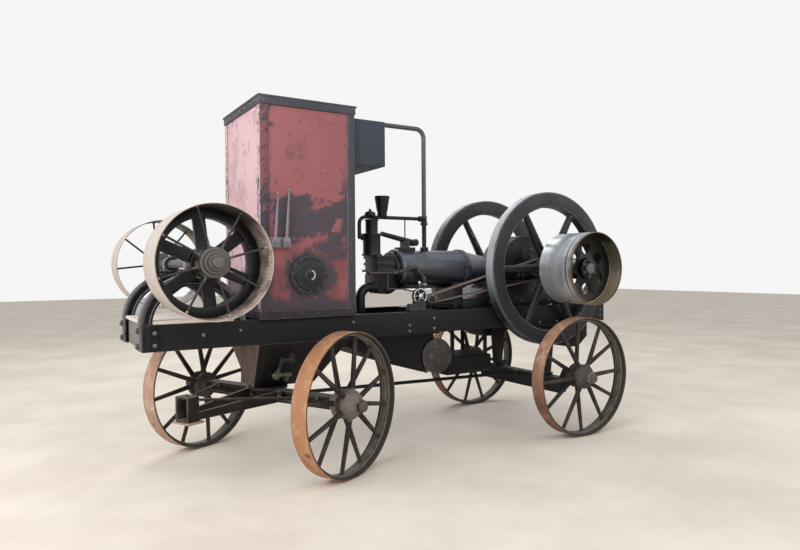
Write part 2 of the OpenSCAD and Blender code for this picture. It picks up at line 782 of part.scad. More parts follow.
// Cast engine bed: two side walls that rise to the main bearings, and a front saddle
bed_front = -(jacket_x + jacket_l - 140);
bed_back = -(crank_x + bed_tail);
saddle_w = 250;
module engine_bed() {
    pit = guard_y - 20;
    z0 = rail_top + seat;
    ring_back = jacket_x + jacket_l - 31;
    color([0.11, 0.12, 0.13]) placed() difference() {
        union() {
            difference() {
                across(-bed_w / 2, bed_w / 2)
                    polygon([[bed_front, z0], [bed_front, z0 + 60], [-crank_x + 640, z0 + 80],
                             [-crank_x + 480, bearing_foot - 62], [-crank_x + 340, bearing_foot],
                             [-crank_x - 340, bearing_foot], [bed_back, bearing_foot - 102],
                             [bed_back, z0]]);
                turned_x(bed_front - 500, bed_front + 1, 0, crank_z, jacket_d + 52, jacket_d + 52);
            }
            block([-ring_back + seat, -saddle_w / 2, z0 + 20], [bed_front, saddle_w / 2, crank_z - 118]);
        }
        block([-crank_x - guard_r + 20, -pit, z0 + 12], [-crank_x + guard_r - 20, pit, bearing_foot + 1]);
        turned_x(-ring_back, bed_front + 1, 0, crank_z, jacket_d + 2 * seat, jacket_d + 2 * seat);
    }
}

// Main bearings with their caps, one each side of the crank
module main_bearings() {
    y0 = guard_y + 12;
    y1 = bed_w / 2 - 4;
    color([0.12, 0.13, 0.14]) placed()
        for (s = [0, 1]) mirror([0, s, 0])
            difference() {
                union() {
                    block([-crank_x - 150, y0, bearing_foot + seat],
                          [-crank_x + 150, y1, bearing_foot + 46]);
                    block([-crank_x - 92, y0, bearing_foot + 40], [-crank_x + 92, y1, crank_z + 40]);
                    turned_y(-crank_x, crank_z, y0, y1, 188);
                    translate([-crank_x, (y0 + y1) / 2, crank_z + 80]) cylinder(h = 52, d = 52);
                }
                turned_y(-crank_x, crank_z, y0 - 1, y1 + 1, crank_d + 2 * run_fit);
            }
}

// Water jacket: barrel, end flanges and the cone towards the crank
module cylinder_jacket() {
    x0 = -jacket_x;
    x1 = -(jacket_x + jacket_l);
    cone_end = -(crank_x - guard_r + 30);
    color([0.17, 0.19, 0.22]) placed() difference() {
        union() {
            turned_x(x1, x0, 0, crank_z, jacket_d, jacket_d);
            turned_x(x0 - 30, x0, 0, crank_z, jacket_d + 16, jacket_d + 16);
            turned_x(x1 - 30, x1 + 14, 0, crank_z, jacket_d + 24, jacket_d + 24);
            turned_x(cone_end, x1 - 29, 0, crank_z, 190, jacket_d - 6);
        }
        turned_y(-crank_x, crank_z, -jacket_d, jacket_d, 2 * (guard_r + seat));
    }
}

// Cylinder head: round cover, ribbed valve chest, the rounded lower case and the exhaust's boss
chest_y = 134;
module cylinder_head() {
    x0 = -jacket_x + seat;
    x1 = x0 + 216;
    color([0.11, 0.12, 0.13]) placed() {
        turned_x(x0, x0 + 46, 0, crank_z, 306, 306);
        block([x0 + 40, -112, crank_z - 4], [x1, 112, crank_z + 112]);
        for (z = [crank_z + 96, crank_z + 38])
            block([x0 + 36, -122, z], [x1 + 10, 122, z + 26.2]);
        block([x0 + 30, -chest_y, crank_z - 18], [x1 + 18, chest_y, crank_z + 4]);
        across(-96, 96) intersection() {
            translate([x0 + 118, crank_z - 88]) circle(r = 118);
            translate([x0 + 20, crank_z - 210]) square([exhaust_start - 4 - x0 - 20, 210]);
        }
        turned_x(x0 + 180, exhaust_start, exhaust_y, exhaust_z, 104, 104);
    }
}

// Vaporiser pot on the head, with its flanges
pot_z = crank_z + 122 + seat;
module vaporiser() {
    color([0.11, 0.12, 0.13]) placed() translate([-pot_x, 0, pot_z]) {
        cylinder(h = 12, d = pot_d + 26);
        cylinder(h = 176, d = pot_d);
        translate([0, 0, 174]) cylinder(h = 14, d = pot_d + 24);
        translate([0, 0, 186]) cylinder(h = 114, d = pot_d - 44);
        translate([0, 0, 298]) cylinder(h = 11, d = pot_d - 26);
    }
}

// Open air cup and, in front of it, a small round cap, both saddled on the branch pipe
cup_x = 1034;
module air_cup() {
    z = branch_z + branch_d / 2;
    color([0.10, 0.11, 0.12]) placed() difference() {
        union() {
            translate([-cup_x, 0, z - 8]) cylinder(h = 48, d = 84);
            translate([-cup_x, 0, z + 38]) cylinder(h = 128, d1 = 92, d2 = 132);
            translate([-cup_x + 118, 0, z - 8]) cylinder(h = 30, d = 92);
            translate([-cup_x + 118, 0, z + 20]) cylinder(h = 12, d = 60);
            translate([-cup_x + 118, 0, z + 30]) cylinder(h = 22, d = 22);
        }
        translate([-cup_x, 0, z + 50]) cylinder(h = 117, d1 = 76, d2 = 124);
        turned_x(-cup_x - 100, -cup_x + 200, 0, branch_z, branch_d + 2 * seat, branch_d + 2 * seat);
    }
}

// Rocker bar on its stand over the jacket
module rocker() {
    stand_x = -1262;
    z0 = crank_z + jacket_d / 2;
    far = [-1350, 0, 1712];
    near = [-pot_x - pot_d / 2 - 17, 0, 1786];
    color([0.12, 0.13, 0.14]) placed() {
        rod(near, far, 40, 50);
        turned_y(far.x, far.z, -44, 44, 62);
        difference() {
            union() {
                block([stand_x - 80, -46, z0 - 30], [stand_x + 80, 46, z0 + 26]);
                block([stand_x - 30, -34, z0], [stand_x + 30, 34, 1722]);
            }
            turned_x(stand_x - 90, stand_x + 90, 0, crank_z, jacket_d + 2 * seat, jacket_d + 2 * seat);
        }
        rod([-1263, 0, 1730], [-1263, 0, branch_z - branch_d / 2 - seat], 11, 11);
    }
}

// Sheet guard over the crank
module crank_guard() {
    z0 = bearing_foot + seat;
    color([0.11, 0.12, 0.13]) placed() difference() {
        turned_y(-crank_x, crank_z, -guard_y, guard_y, 2 * guard_r);
        turned_y(-crank_x, crank_z, -guard_y + guard_t, guard_y - guard_t, 2 * (guard_r - guard_t));
        block([-crank_x - 2 * guard_r, -2 * guard_y, crank_z - 2 * guard_r],
              [-crank_x + 2 * guard_r, 2 * guard_y, z0]);
        turned_y(-crank_x, crank_z, -guard_y - 1, guard_y + 1, crank_d + 12);
    }
}

// Fuel pump and governor block on the rail, with its ring
pump_x = 1195;
pump_y = 332;
module fuel_pump() {
    z0 = rail_top + seat;
    color([0.16, 0.16, 0.17]) placed() {
        block([-pump_x - 90, pump_y - 46, z0], [-pump_x + 110, pump_y + 40, z0 + 16]);
        block([-pump_x - 46, pump_y - 34, z0 + 14], [-pump_x + 48, pump_y + 26, z0 + 84]);
        block([-pump_x + 44, pump_y - 30, z0 + 14], [-pump_x + 104, pump_y + 20, z0 + 62]);
        difference() {
            turned_y(-pump_x, z0 + 124, pump_y - 10, pump_y + 16, 134);
            turned_y(-pump_x, z0 + 124, pump_y + 2, pump_y + 17, 106);
        }
        turned_y(-pump_x, z0 + 124, pump_y - 20, pump_y + 26, 44);
        translate([-pump_x, pump_y + 3, z0 + 180]) cylinder(h = 36, d = 18);
        turned_y(belt_small.x, belt_small.y, belt_y0 - 8, belt_y1 + 8,
                 2 * (belt_small_r + belt_play - seat));
        block([-pump_x - 130, belt_y0 - 30, z0 + 40], [-pump_x - 40, belt_y0 - 5, z0 + 128]);
        block([-pump_x - 58, belt_y0 - 30, z0 + 40], [-pump_x - 40, pump_y - 30, z0 + 84]);
        translate([-pump_x - 130, 260, z0 + 50]) rotate([0, -90, 0]) cylinder(h = 260, d = 54);
        block([-pump_x - 420, 230, z0], [-pump_x - 380, 290, z0 + 78]);
        block([-pump_x - 150, 230, z0], [-pump_x - 120, 290, z0 + 78]);
    }
}

// Bent fuel pipe along the head and jacket with union nuts, down to its cup by the pump
pipe_y = 200;
fuel_pipe_d = 24;
module fuel_pipe() {
    $fn = 36;
    nut = 36;
    p = [[-800, pipe_y, 1447], [-1060, pipe_y, 1450], [-1245, pipe_y, 1497], [-1330, pipe_y, 1400]];
    color([0.33, 0.31, 0.29]) placed() {
        for (i = [0 : len(p) - 2]) rod(p[i], p[i + 1], fuel_pipe_d, fuel_pipe_d);
        for (q = p) translate(q) sphere(d = nut);
        translate([p[3].x, pipe_y, p[3].z - 50]) cylinder(h = 52, d1 = 30, d2 = 50);
        turned_y(p[1].x, p[1].z + 8, chest_y + seat, pipe_y, fuel_pipe_d - 6);
    }
}

// Flat leather belt from the crankshaft to the pump's pulley
belt_y0 = bed_w / 2 + 5;
belt_y1 = fly_y - 33;
belt_big_r = 86;
belt_small = [-1300, rail_top + 98];
belt_small_r = 24;
belt_play = 5;
module belt_loop(out, lap, y0, y1) {
    big = [-crank_x, crank_z];
    gap = big - belt_small;
    flare = asin((belt_big_r - belt_small_r) / norm(gap));
    a = atan2(gap.y, gap.x) + 90 + flare;
    b = atan2(gap.y, gap.x) - 90 - flare;
    small_r = belt_small_r + out;
    big_r = belt_big_r + out;
    turned_y(belt_small.x, belt_small.y, y0, y1, 2 * small_r);
    turned_y(big.x, big.y, y0, y1, 2 * big_r);
    across(y0, y1)
        polygon([belt_small + (small_r + lap) * [cos(a), sin(a)], big + (big_r + lap) * [cos(a), sin(a)],
                 big + (big_r + lap) * [cos(b), sin(b)],
                 belt_small + (small_r + lap) * [cos(b), sin(b)]]);
}

module pump_belt() {
    t = 5;
    color([0.42, 0.31, 0.25]) placed() difference() {
        belt_loop(belt_play + t, 0.5, belt_y0, belt_y1);
        belt_loop(belt_play, -0.5, belt_y0 - 1, belt_y1 + 1);
    }
}

// Plates that carry the frame on the rear axle
module rear_pedestals() {
    foot = rear_beam_top + seat;
    top = rail_foot - seat;
    color([0.13, 0.13, 0.14]) placed()
        for (s = [0, 1]) mirror([0, s, 0]) {
            across(rail_y - 44, rail_y - 20)
                polygon([[-wheelbase - 110, top], [-wheelbase + 90, top],
                         [-wheelbase + 52, foot], [-wheelbase - 52, foot]]);
            block([-wheelbase - 60, rail_y - 74, foot], [-wheelbase + 60, rail_y, foot + 20]);
            block([-wheelbase - 130, rail_y - 64, top - 16], [-wheelbase + 110, rail_y - 2, top]);
        }
}

// Rear axle: a beam whose middle hangs below the wheel centres, with turned pins
module rear_axle() {
    z = wheel_r;
    rise = 50;
    end = rear_half_track - hub_in - 4;
    h = axle_h / 2;
    low = rear_beam_top - rear_beam_h;
    color([0.16, 0.16, 0.17]) placed() {
        difference() {
            along(-wheelbase - axle_w / 2, -wheelbase + axle_w / 2)
                polygon([[-end, z - h], [-drop_half - rise, z - h], [-drop_half, low], [drop_half, low],
                         [drop_half + rise, z - h], [end, z - h], [end, z + h],
                         [drop_half + rise, z + h], [drop_half, rear_beam_top],
                         [-drop_half, rear_beam_top], [-drop_half - rise, z + h], [-end, z + h]]);
            for (s = [-1, 1])
                block([-wheelbase + s * axle_w / 2 - 30, -drop_half + 30, low + axle_t],
                      [-wheelbase + s * axle_w / 2 + 30, drop_half - 30, rear_beam_top - axle_t]);
        }
        for (s = [0, 1]) mirror([0, s, 0])
            turned_y(-wheelbase, z, end - 1, rear_half_track + hub_out - 30, pin_d);
    }
}

// Small tank hung under the rails behind the rear axle
module rear_tank() {
    top = rail_foot - seat;
    back = rail_back + 175;
    front = back + rear_tank_l;
    color([0.12, 0.13, 0.14]) placed()
        across(-rail_y + 55, rail_y - 55)
            polygon([[front, top], [front, top - rear_tank_h * 0.73],
                     [front - rear_tank_l / 4, top - rear_tank_h],
                     [back + rear_tank_l * 0.38, top - rear_tank_h],
                     [back, top - rear_tank_h * 0.61], [back, top]]);
}

// Plain box hung under the engine bed between the drum and the rear axle
module under_box() {
    front = -(drum_x + drum_d / 2 + 34);
    back = front - under_box_l;
    half = 210;
    under_box_z = wheel_r + under_box_rise;
    color([0.12, 0.12, 0.13]) placed() {
        along(back, front)
            polygon([[-half, under_box_z + 40], [-half + 40, under_box_z], [half - 40, under_box_z],
                     [half, under_box_z + 40], [half, under_box_z + 150], [half - 14, under_box_z + 164],
                     [-half + 14, under_box_z + 164], [-half, under_box_z + 150]]);
        for (x = [front - 60, back + 40])
            block([x - 20, -half + 30, under_box_z + 160], [x + 20, -half + 46, rail_foot - seat]);
        for (x = [front - 60, back + 40])
            block([x - 20, half - 46, under_box_z + 160], [x + 20, half - 30, rail_foot - seat]);
    }
}

// Front axle beam with its turning plate and pins
module front_axle() {
    z = wheel_r;
    h = axle_h / 2;
    end = front_half_track - hub_in - 4;
    plate_top = king_top - turn_plate_t - seat;
    color([0.20, 0.19, 0.19]) steered() difference() {
        union() {
            difference() {
                block([-axle_w / 2, -end, z - h], [axle_w / 2, end, z + h]);
                for (s = [-1, 1], t = [-1, 1])
                    block([s * axle_w / 2 - (axle_w - axle_t) / 2, t * end / 2 - end / 2 + 70 + 20 * t,
                           z - h + axle_t],
                          [s * axle_w / 2 + (axle_w - axle_t) / 2, t * end / 2 + end / 2 - 70 + 20 * t,
                           z + h - axle_t]);
            }
            translate([0, 0, z + h - 1]) cylinder(h = plate_top - z - h + 1, d = turn_plate_d);
            for (s = [0, 1]) mirror([0, s, 0])
                turned_y(0, z, end - 1, front_half_track + hub_out - 30, pin_d);
        }
        translate([0, 0, z - h - 1]) cylinder(h = plate_top - z + h + 2, d = king_pin_d + 2 * run_fit);
    }
}

// Drawbar: an open socket carried by two arms that spread to the axle
module drawbar() {
    z = socket_z;
    x1 = drawbar_reach;
    x0 = x1 - socket_l;
    w = socket_w / 2;
    h = socket_h / 2;
    root = axle_w / 2 + seat;
    arm_z = wheel_r;
    brace_z = wheel_r + axle_h / 2 - 18;
    color([0.14, 0.14, 0.15]) steered() {
        difference() {
            block([x0, -w, z - h], [x1, w, z + h]);
            block([x0 + socket_t, -w + socket_t, z - h + socket_t],
                  [x1 + 1, w - socket_t, z + h - socket_t]);
            translate([x1 - 50, 0, z - h - 1]) cylinder(h = 2 * h + 2, d = draw_pin_d);
        }
        for (s = [0, 1]) mirror([0, s, 0])
            intersection() {
                translate([0, 0, z - socket_h]) linear_extrude(2 * socket_h)
                    polygon([[x0 + 4, w - arm_t], [x0 + 4, w], [root, arm_spread / 2 + arm_t / 2],
                             [root, arm_spread / 2 - arm_t / 2 - 4]]);
                across(-arm_spread, arm_spread)
                    polygon([[root, arm_z - arm_h / 2], [root, arm_z + arm_h / 2],
                             [x0 + 4, z - h + 8 + arm_tip_h], [x0 + 4, z - h + 8]]);
            }
        for (s = [0, 1]) mirror([0, s, 0]) {
            block([root, arm_spread / 2 - 46, arm_z - axle_h / 2 + 3],
                  [root + 14, arm_spread / 2 + 46, arm_z + axle_h / 2 - 3]);
            rod([x0 + 10, w - 16, z + h - 26], [root + 8, brace_y, brace_z], brace_d, brace_d);
            block([root, brace_y - 34, brace_z - 16], [root + 12, brace_y + 34, brace_z + 16]);
        }
    }
}

module front_left_tyre() {
    color([0.76, 0.57, 0.44]) steered() translate([0, front_half_track, wheel_r]) tyre();
}
module front_left_wheel() {
    color([0.23, 0.24, 0.24]) steered() translate([0, front_half_track, wheel_r]) spoked_wheel(1, 50);
}
module front_right_tyre() {
    color([0.76, 0.57, 0.44]) steered() translate([0, -front_half_track, wheel_r]) tyre();
}
module front_right_wheel() {
    color([0.23, 0.24, 0.24]) steered()
        translate([0, -front_half_track, wheel_r]) spoked_wheel(-1, 37);
}
module rear_left_tyre() {
    color([0.76, 0.57, 0.44]) placed() translate([-wheelbase, rear_half_track, wheel_r]) tyre();
}
module rear_left_wheel() {
    color([0.23, 0.24, 0.24]) placed()
        translate([-wheelbase, rear_half_track, wheel_r]) spoked_wheel(1, 32);
}
module rear_right_tyre() {
    color([0.76, 0.57, 0.44]) placed() translate([-wheelbase, -rear_half_track, wheel_r]) tyre();
}
module rear_right_wheel() {
    color([0.23, 0.24, 0.24]) placed()
        translate([-wheelbase, -rear_half_track, wheel_r]) spoked_wheel(-1, 17.5);
}

// Straight crankshaft that carries both flywheels and the belt pulley
web_place = 0.62;
crank_end = belt_pulley_y + belt_pulley_w * web_place + 76;
module crankshaft() {
    color([0.50, 0.51, 0.52]) placed() {
        turned_y(-crank_x, crank_z, -fly_y - fly_w - 40, crank_end, crank_d);
        turned_y(-crank_x, crank_z, belt_y0 - 6, belt_y1 + 6, 2 * belt_big_r);
    }
}

// Flywheel: heavy rim, tapered round arms and hub; its inner face lies at y = 0
module flywheel() {
    r = fly_d / 2;
    lip = 10;
    hub_r = 92;
    rotate([-90, 0, 0]) difference() {
        union() {
            rotate_extrude()
                polygon([[r - fly_rim, lip], [r - fly_rim + lip, 0], [r - lip, 0], [r, lip],
                         [r, fly_w - lip], [r - lip, fly_w], [r - fly_rim + lip, fly_w],
                         [r - fly_rim, fly_w - lip]]);
            cylinder(h = fly_w + 30, r = hub_r);
            for (i = [0 : fly_arms - 1])
                rotate([0, 0, i * 360 / fly_arms])
                    translate([hub_r - 20, 0, fly_w / 2]) rotate([0, 90, 0])
                        cylinder(h = r - fly_rim - hub_r + 30, d1 = fly_arm_root, d2 = fly_arm_tip);
        }
        translate([0, 0, -1]) cylinder(h = fly_w + 32, d = crank_d + 2 * seat);
    }
}

module flywheels() {
    color([0.17, 0.19, 0.19]) placed()
        for (s = [0, 1]) mirror([0, s, 0]) translate([-crank_x, fly_y, crank_z]) flywheel();
}

// Belt pulley: thin open drum, pierced web and hub
module belt_pulley() {
    r = belt_pulley_d / 2;
    web_y = belt_pulley_w * web_place;
    window_r = 46;
    color([0.55, 0.57, 0.60]) placed() translate([-crank_x, belt_pulley_y, crank_z])
        rotate([-90, 0, 0]) difference() {
            union() {
                rotate_extrude()
                    translate([r - belt_pulley_t, 0]) square([belt_pulley_t, belt_pulley_w]);
                translate([0, 0, web_y]) cylinder(h = 16, r = r - belt_pulley_t + 2);
                cylinder(h = web_y + 52, r = 92);
            }
            for (i = [0 : 5])
                rotate([0, 0, 30 + i * 60]) translate([r * 0.56, 0, web_y - 1])
                    cylinder(h = 18, r = window_r);
            translate([0, 0, -1]) cylinder(h = web_y + 54, d = crank_d + 2 * seat);
        }
}

// Front countershaft
module front_shaft() {
    color([0.45, 0.45, 0.44]) placed()
        turned_y(front_shaft_x, front_shaft_z, -(front_pulley_y + far_pulley_w + 30),
                 front_pulley_y + front_pulley_w + front_shaft_out, front_shaft_d);
}

// Cast flywheel that fills the inner end of the near front pulley, with six wide flat arms
module front_flywheel() {
    r = front_pulley_d / 2 - front_pulley_t - seat;
    color([0.13, 0.14, 0.15]) placed() translate([front_shaft_x, front_pulley_y + 2, front_shaft_z])
        rotate([-90, 0, 0]) difference() {
            union() {
                rotate_extrude()
                    translate([r - front_fly_rim, 0]) square([front_fly_rim, front_fly_w]);
                cylinder(h = front_fly_w + 12, r = 102);
                for (i = [0 : 5]) rotate([0, 0, 37 + i * 60])
                    translate([60, -front_arm_w / 2, front_fly_w / 2 - 17])
                        cube([r - front_fly_rim - 60 + 10, front_arm_w, 34]);
            }
            translate([0, 0, -1]) cylinder(h = front_fly_w + 14, d = front_shaft_d + 2 * seat);
        }
}

// Belt pulley with rod spokes: thin rim and stepped hub
module rod_pulley(face, phase) {
    r = front_pulley_d / 2;
    hub_l = 150;
    spoke_z = face - 62;
    rotate([-90, 0, 0]) difference() {
        union() {
            rotate_extrude()
                translate([r - front_pulley_t, 0]) square([front_pulley_t, face]);
            translate([0, 0, face - hub_l]) cylinder(h = hub_l - 30, d = front_hub_d);
            translate([0, 0, face - 40]) cylinder(h = 28, d = front_hub_d - 44);
            translate([0, 0, face - 20]) cylinder(h = 28, d = front_hub_d - 84);
            for (i = [0 : rod_count - 1])
                rotate([0, 0, phase + i * 360 / rod_count])
                    translate([front_hub_d / 2 - 20, 0, spoke_z]) rotate([0, 90, 0])
                        cylinder(h = r - front_pulley_t - front_hub_d / 2 + 22, d = rod_d);
        }
        translate([0, 0, face - hub_l - 1]) cylinder(h = hub_l + 20, d = front_shaft_d + 2 * seat);
    }
}

module front_pulleys() {
    color([0.72, 0.65, 0.55]) placed() {
        translate([front_shaft_x, front_pulley_y, front_shaft_z]) rod_pulley(front_pulley_w, 16);
        mirror([0, 1, 0])
            translate([front_shaft_x, front_pulley_y, front_shaft_z]) rod_pulley(far_pulley_w, 6);
    }
}

rails();
front_crossmember();
crossmembers();
floor_boards();
front_cheeks();
front_bearings();
cooling_tower();
tower_cap();
tower_angles();
round_cover();
control_levers();
header_tank();
hot_water_pipe();
branch_pipe();
sump_tank();
sump_cock();
king_plate();
reach_rod();
silencer_box();
exhaust_pipe();
fuel_drum();
engine_bed();
main_bearings();
cylinder_jacket();
cylinder_head();
vaporiser();
air_cup();
rocker();
crank_guard();
fuel_pump();
fuel_pipe();
pump_belt();
rear_pedestals();
rear_axle();
rear_tank();
under_box();
front_axle();
drawbar();
front_left_tyre();
front_left_wheel();
front_right_tyre();
front_right_wheel();
rear_left_tyre();
rear_left_wheel();
rear_right_tyre();
rear_right_wheel();
crankshaft();
flywheels();
belt_pulley();
front_shaft();
front_flywheel();
front_pulleys();
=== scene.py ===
"""Looks of the portable oil engine: finishes, fastenings and small fittings round the CAD parts."""
import json
import math

import bpy
from mathutils import Matrix, Vector


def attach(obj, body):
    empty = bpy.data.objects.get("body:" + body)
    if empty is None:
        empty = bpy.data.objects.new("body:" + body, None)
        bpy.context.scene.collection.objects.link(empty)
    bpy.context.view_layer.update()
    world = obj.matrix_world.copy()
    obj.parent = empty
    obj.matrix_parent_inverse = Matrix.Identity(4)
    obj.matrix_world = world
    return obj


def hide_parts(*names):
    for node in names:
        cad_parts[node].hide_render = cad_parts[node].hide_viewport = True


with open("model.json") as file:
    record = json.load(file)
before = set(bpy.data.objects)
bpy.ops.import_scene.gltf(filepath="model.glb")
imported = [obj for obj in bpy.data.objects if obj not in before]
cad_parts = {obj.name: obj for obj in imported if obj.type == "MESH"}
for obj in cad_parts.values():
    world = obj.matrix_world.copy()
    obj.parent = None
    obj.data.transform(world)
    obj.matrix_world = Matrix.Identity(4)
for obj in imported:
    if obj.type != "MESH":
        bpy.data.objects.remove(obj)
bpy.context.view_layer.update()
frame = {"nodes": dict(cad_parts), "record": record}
nodes = frame["nodes"]
record = frame["record"]

# Shift from the front axle's middle, where the parts are drawn, to the middle of the whole box
SHIFT = Vector((1.1685, -0.023081, 0.0))
PARK = math.radians(26)

body_of_node = {n: b for b, names in record["behaviour"]["bodies"].items() for n in names}
slot_of_node = {s["node"]: s["material_slot"] for s in record["subparts"]}

REAR_AXLE_X = -2600
# Each road wheel: its middle along and across, the turn it is parked at, its side, its first spoke
WHEELS = {
    "front_left": (0, 775, PARK, 1, 50),
    "front_right": (0, -775, PARK, -1, 37),
    "rear_left": (REAR_AXLE_X, 785, 0, 1, 32),
    "rear_right": (REAR_AXLE_X, -785, 0, -1, 17.5),
}
# Cross shafts: along, and up
CRANK = (-2540, 1473)
FRONT_SHAFT = (647, 1533)
WHEEL_RADIUS = 520
# Inside of the rim, where the spokes end
RIM_INSIDE = 497.5
# Middles of the cheeks and outsides of the rails, across from the middle line
CHEEK_Y = 352
RAIL_SIDE = 385
# Middle of the main bearings, across
BEARING_Y = 220
# Upright part of the hot-water pipe, the vaporiser pot, and the plane across that the fuel pipe lies in
PIPE_X = -1465
POT_X = -930
FUEL_Y = 200
# Bottom and top seams of the header tank
TANK_SEAMS = (2312, 2624)
# Middles of the pump's ring and of the tower's round cover: along, and up
PUMP = (-1195, 1254.3)
COVER = (-165, 1443)
# Four bolts at the corners of a round flange
CORNERS = (45, 135, 225, 315)
# What the axles are drawn slimmer by, in mm, to run free of the flats of the hubs' bores
HUB_PLAY = 0.8
X, Y, Z = Vector((1, 0, 0)), Vector((0, 1, 0)), Vector((0, 0, 1))


def spot(x, y, z):
    """A point in millimetres from the front axle's middle, as the scene's point in metres."""
    return Vector((x, y, z)) / 1000 + SHIFT


def steered_way(x, y, z):
    """A direction drawn on the straight fore-carriage, which is parked turned."""
    return Matrix.Rotation(PARK, 3, "Z") @ Vector((x, y, z))


def steered(x, y, z):
    """A point drawn on the straight fore-carriage in millimetres, as the scene's point in metres."""
    return steered_way(x, y, z) / 1000 + SHIFT


def wheel_spot(wheel, angle, radius, out):
    """A point of a road wheel, by its angle from the top forwards, its radius and its distance outwards."""
    x, y, turn, side, _ = WHEELS[wheel]
    a = math.radians(angle)
    flat = Vector((x + radius * math.sin(a), y + side * out, WHEEL_RADIUS + radius * math.cos(a)))
    return Matrix.Rotation(turn, 3, "Z") @ flat / 1000 + SHIFT


def wheel_way(wheel, angle, radial, out):
    """A direction on a road wheel, from its radial and outward parts."""
    _, _, turn, side, _ = WHEELS[wheel]
    a = math.radians(angle)
    return Matrix.Rotation(turn, 3, "Z") @ Vector((radial * math.sin(a), side * out, radial * math.cos(a)))


def shaft_spot(shaft, angle, radius, y):
    """A point round a cross shaft, by its angle from the top forwards, its radius and its place across."""
    a = math.radians(angle)
    return spot(shaft[0] + radius * math.sin(a), y, shaft[1] + radius * math.cos(a))


def shaft_way(angle):
    """The direction straight out from a cross shaft."""
    a = math.radians(angle)
    return Vector((math.sin(a), 0, math.cos(a)))


# Camera at the photograph's place: eye height, level, 28.7 mm lens

camera_data = bpy.data.cameras.new("camera")
camera = bpy.data.objects.new("camera", camera_data)
bpy.context.scene.collection.objects.link(camera)
camera_data.sensor_width = 36
camera_data.lens = 28.66
camera_data.clip_end = 200
HEADING, PITCH, ROLL = (math.radians(a) for a in (148.84, -0.75, -0.41))
camera.matrix_world = (
    Matrix.Translation(spot(1680, 4779, 1500))
    @ Matrix.Rotation(HEADING, 4, "Z")
    @ Matrix.Rotation(math.pi / 2 + PITCH, 4, "X")
    @ Matrix.Rotation(ROLL, 4, "Z")
)
bpy.context.scene.camera = camera
bpy.context.scene.view_settings.view_transform = "Standard"


# Tools for the finishes


def linear(code):
    """An sRGB hex colour as the linear colour that Blender works in."""
    parts = [int(code[i : i + 2], 16) / 255 for i in (0, 2, 4)]
    return (*[c / 12.92 if c <= 0.04045 else ((c + 0.055) / 1.055) ** 2.4 for c in parts], 1.0)


def add(tree, kind, links=None, **settings):
    """Adds a shader node with its settings; links holds a value or another node's socket for each input."""
    made = tree.nodes.new("ShaderNode" + kind)
    for name, value in settings.items():
        setattr(made, name, value)
    for socket, value in (links or {}).items():
        if isinstance(value, bpy.types.NodeSocket):
            tree.links.new(value, made.inputs[socket])
        else:
            made.inputs[socket].default_value = value
    return made


def mask(tree, *parts):
    """A share of 0 to 1, the product of its parts. A part is a socket or (value, low, high), which makes
    a soft step from 0 at low to 1 at high; low may be the larger number."""
    whole = None
    for part in parts:
        if isinstance(part, tuple):
            value, low, high = part
            links = {"Value": value, "From Min": min(low, high), "From Max": max(low, high)}
            if low > high:
                links.update({"To Min": 1.0, "To Max": 0.0})
            part = add(tree, "MapRange", links, interpolation_type="SMOOTHSTEP").outputs["Result"]
        if whole:
            part = add(tree, "Math", {0: whole, 1: part}, operation="MULTIPLY").outputs[0]
        whole = part
    return whole


def over(made, code, *parts):
    """Lays one more colour over a material, as thick as the mask of the parts."""
    tree = made.node_tree
    base = tree.nodes["Principled BSDF"].inputs["Base Color"]
    under = base.links[0].from_socket if base.links else tuple(base.default_value)
    laid = add(tree, "Mix", {0: mask(tree, *parts), 6: under, 7: linear(code)}, data_type="RGBA")
    tree.links.new(laid.outputs[2], base)


def start(name):
    """A new material, its tree, its principled shader and its object coordinates."""
    made = bpy.data.materials.new(name)
    made.use_nodes = True
    tree = made.node_tree
    shader = tree.nodes["Principled BSDF"]
    place = add(tree, "TexCoord").outputs["Object"]
    return made, tree, shader, place


def grain(tree, place, size_mm, detail=6, rough=0.6, stretch=(1, 1, 1)):
    """Cloudy noise with lumps of a size in millimetres, drawn out along an axis where stretch is under 1."""
    drawn = add(tree, "Mapping", {"Vector": place, "Scale": stretch}).outputs[0]
    links = {"Vector": drawn, "Scale": 1000 / size_mm, "Detail": detail, "Roughness": rough}
    return add(tree, "TexNoise", links).outputs["Fac"]


def coat(name, paint, worn, dirt, patch_mm=90, wear=0.4, dust=0.3, rough=0.5, bump=0.15, metal=0.0,
         specular=0.5, edge=None, edge_mm=5):
    """An old finish: patches worn to a second colour, a film of dirt, edges lighter where rubbed and as a
    painted highlight, a fine uneven surface.
    """
    made, tree, shader, place = start(name)
    patch = grain(tree, place, patch_mm, 9, 0.62)
    speck = grain(tree, place, 5.3, 3, 0.6)
    film = grain(tree, place, 320, 6, 0.55)
    spots = add(tree, "Math", {0: patch, 1: speck}, operation="ADD").outputs[0]
    shader.inputs["Base Color"].default_value = linear(paint)
    over(made, worn, (spots, 1.30 - wear * 0.4, 1.42 - wear * 0.4))
    over(made, dirt, (film, 0.72 - dust * 0.4, 1.05 - dust * 0.4))
    # Edge colour: partly rubbed paint, partly a painted highlight along the edges
    if edge:
        rounded = add(tree, "Bevel", {"Radius": edge_mm / 1000}, samples=4).outputs["Normal"]
        flat = add(tree, "NewGeometry").outputs["True Normal"]
        lean = add(tree, "VectorMath", {0: rounded, 1: flat}, operation="DOT_PRODUCT").outputs["Value"]
        over(made, edge, (lean, 0.985, 0.87), (spots, 0.78, 1.06))
    gloss = add(tree, "MapRange", {"Value": patch, "From Min": 0.25, "From Max": 0.75,
                                   "To Min": max(rough - 0.12, 0.05), "To Max": rough + 0.14})
    tree.links.new(gloss.outputs["Result"], shader.inputs["Roughness"])
    shader.inputs["Metallic"].default_value = metal
    shader.inputs["Specular IOR Level"].default_value = specular
    raised = add(tree, "Bump", {"Strength": bump, "Distance": 0.004, "Height": spots})
    tree.links.new(raised.outputs["Normal"], shader.inputs["Normal"])
    return made


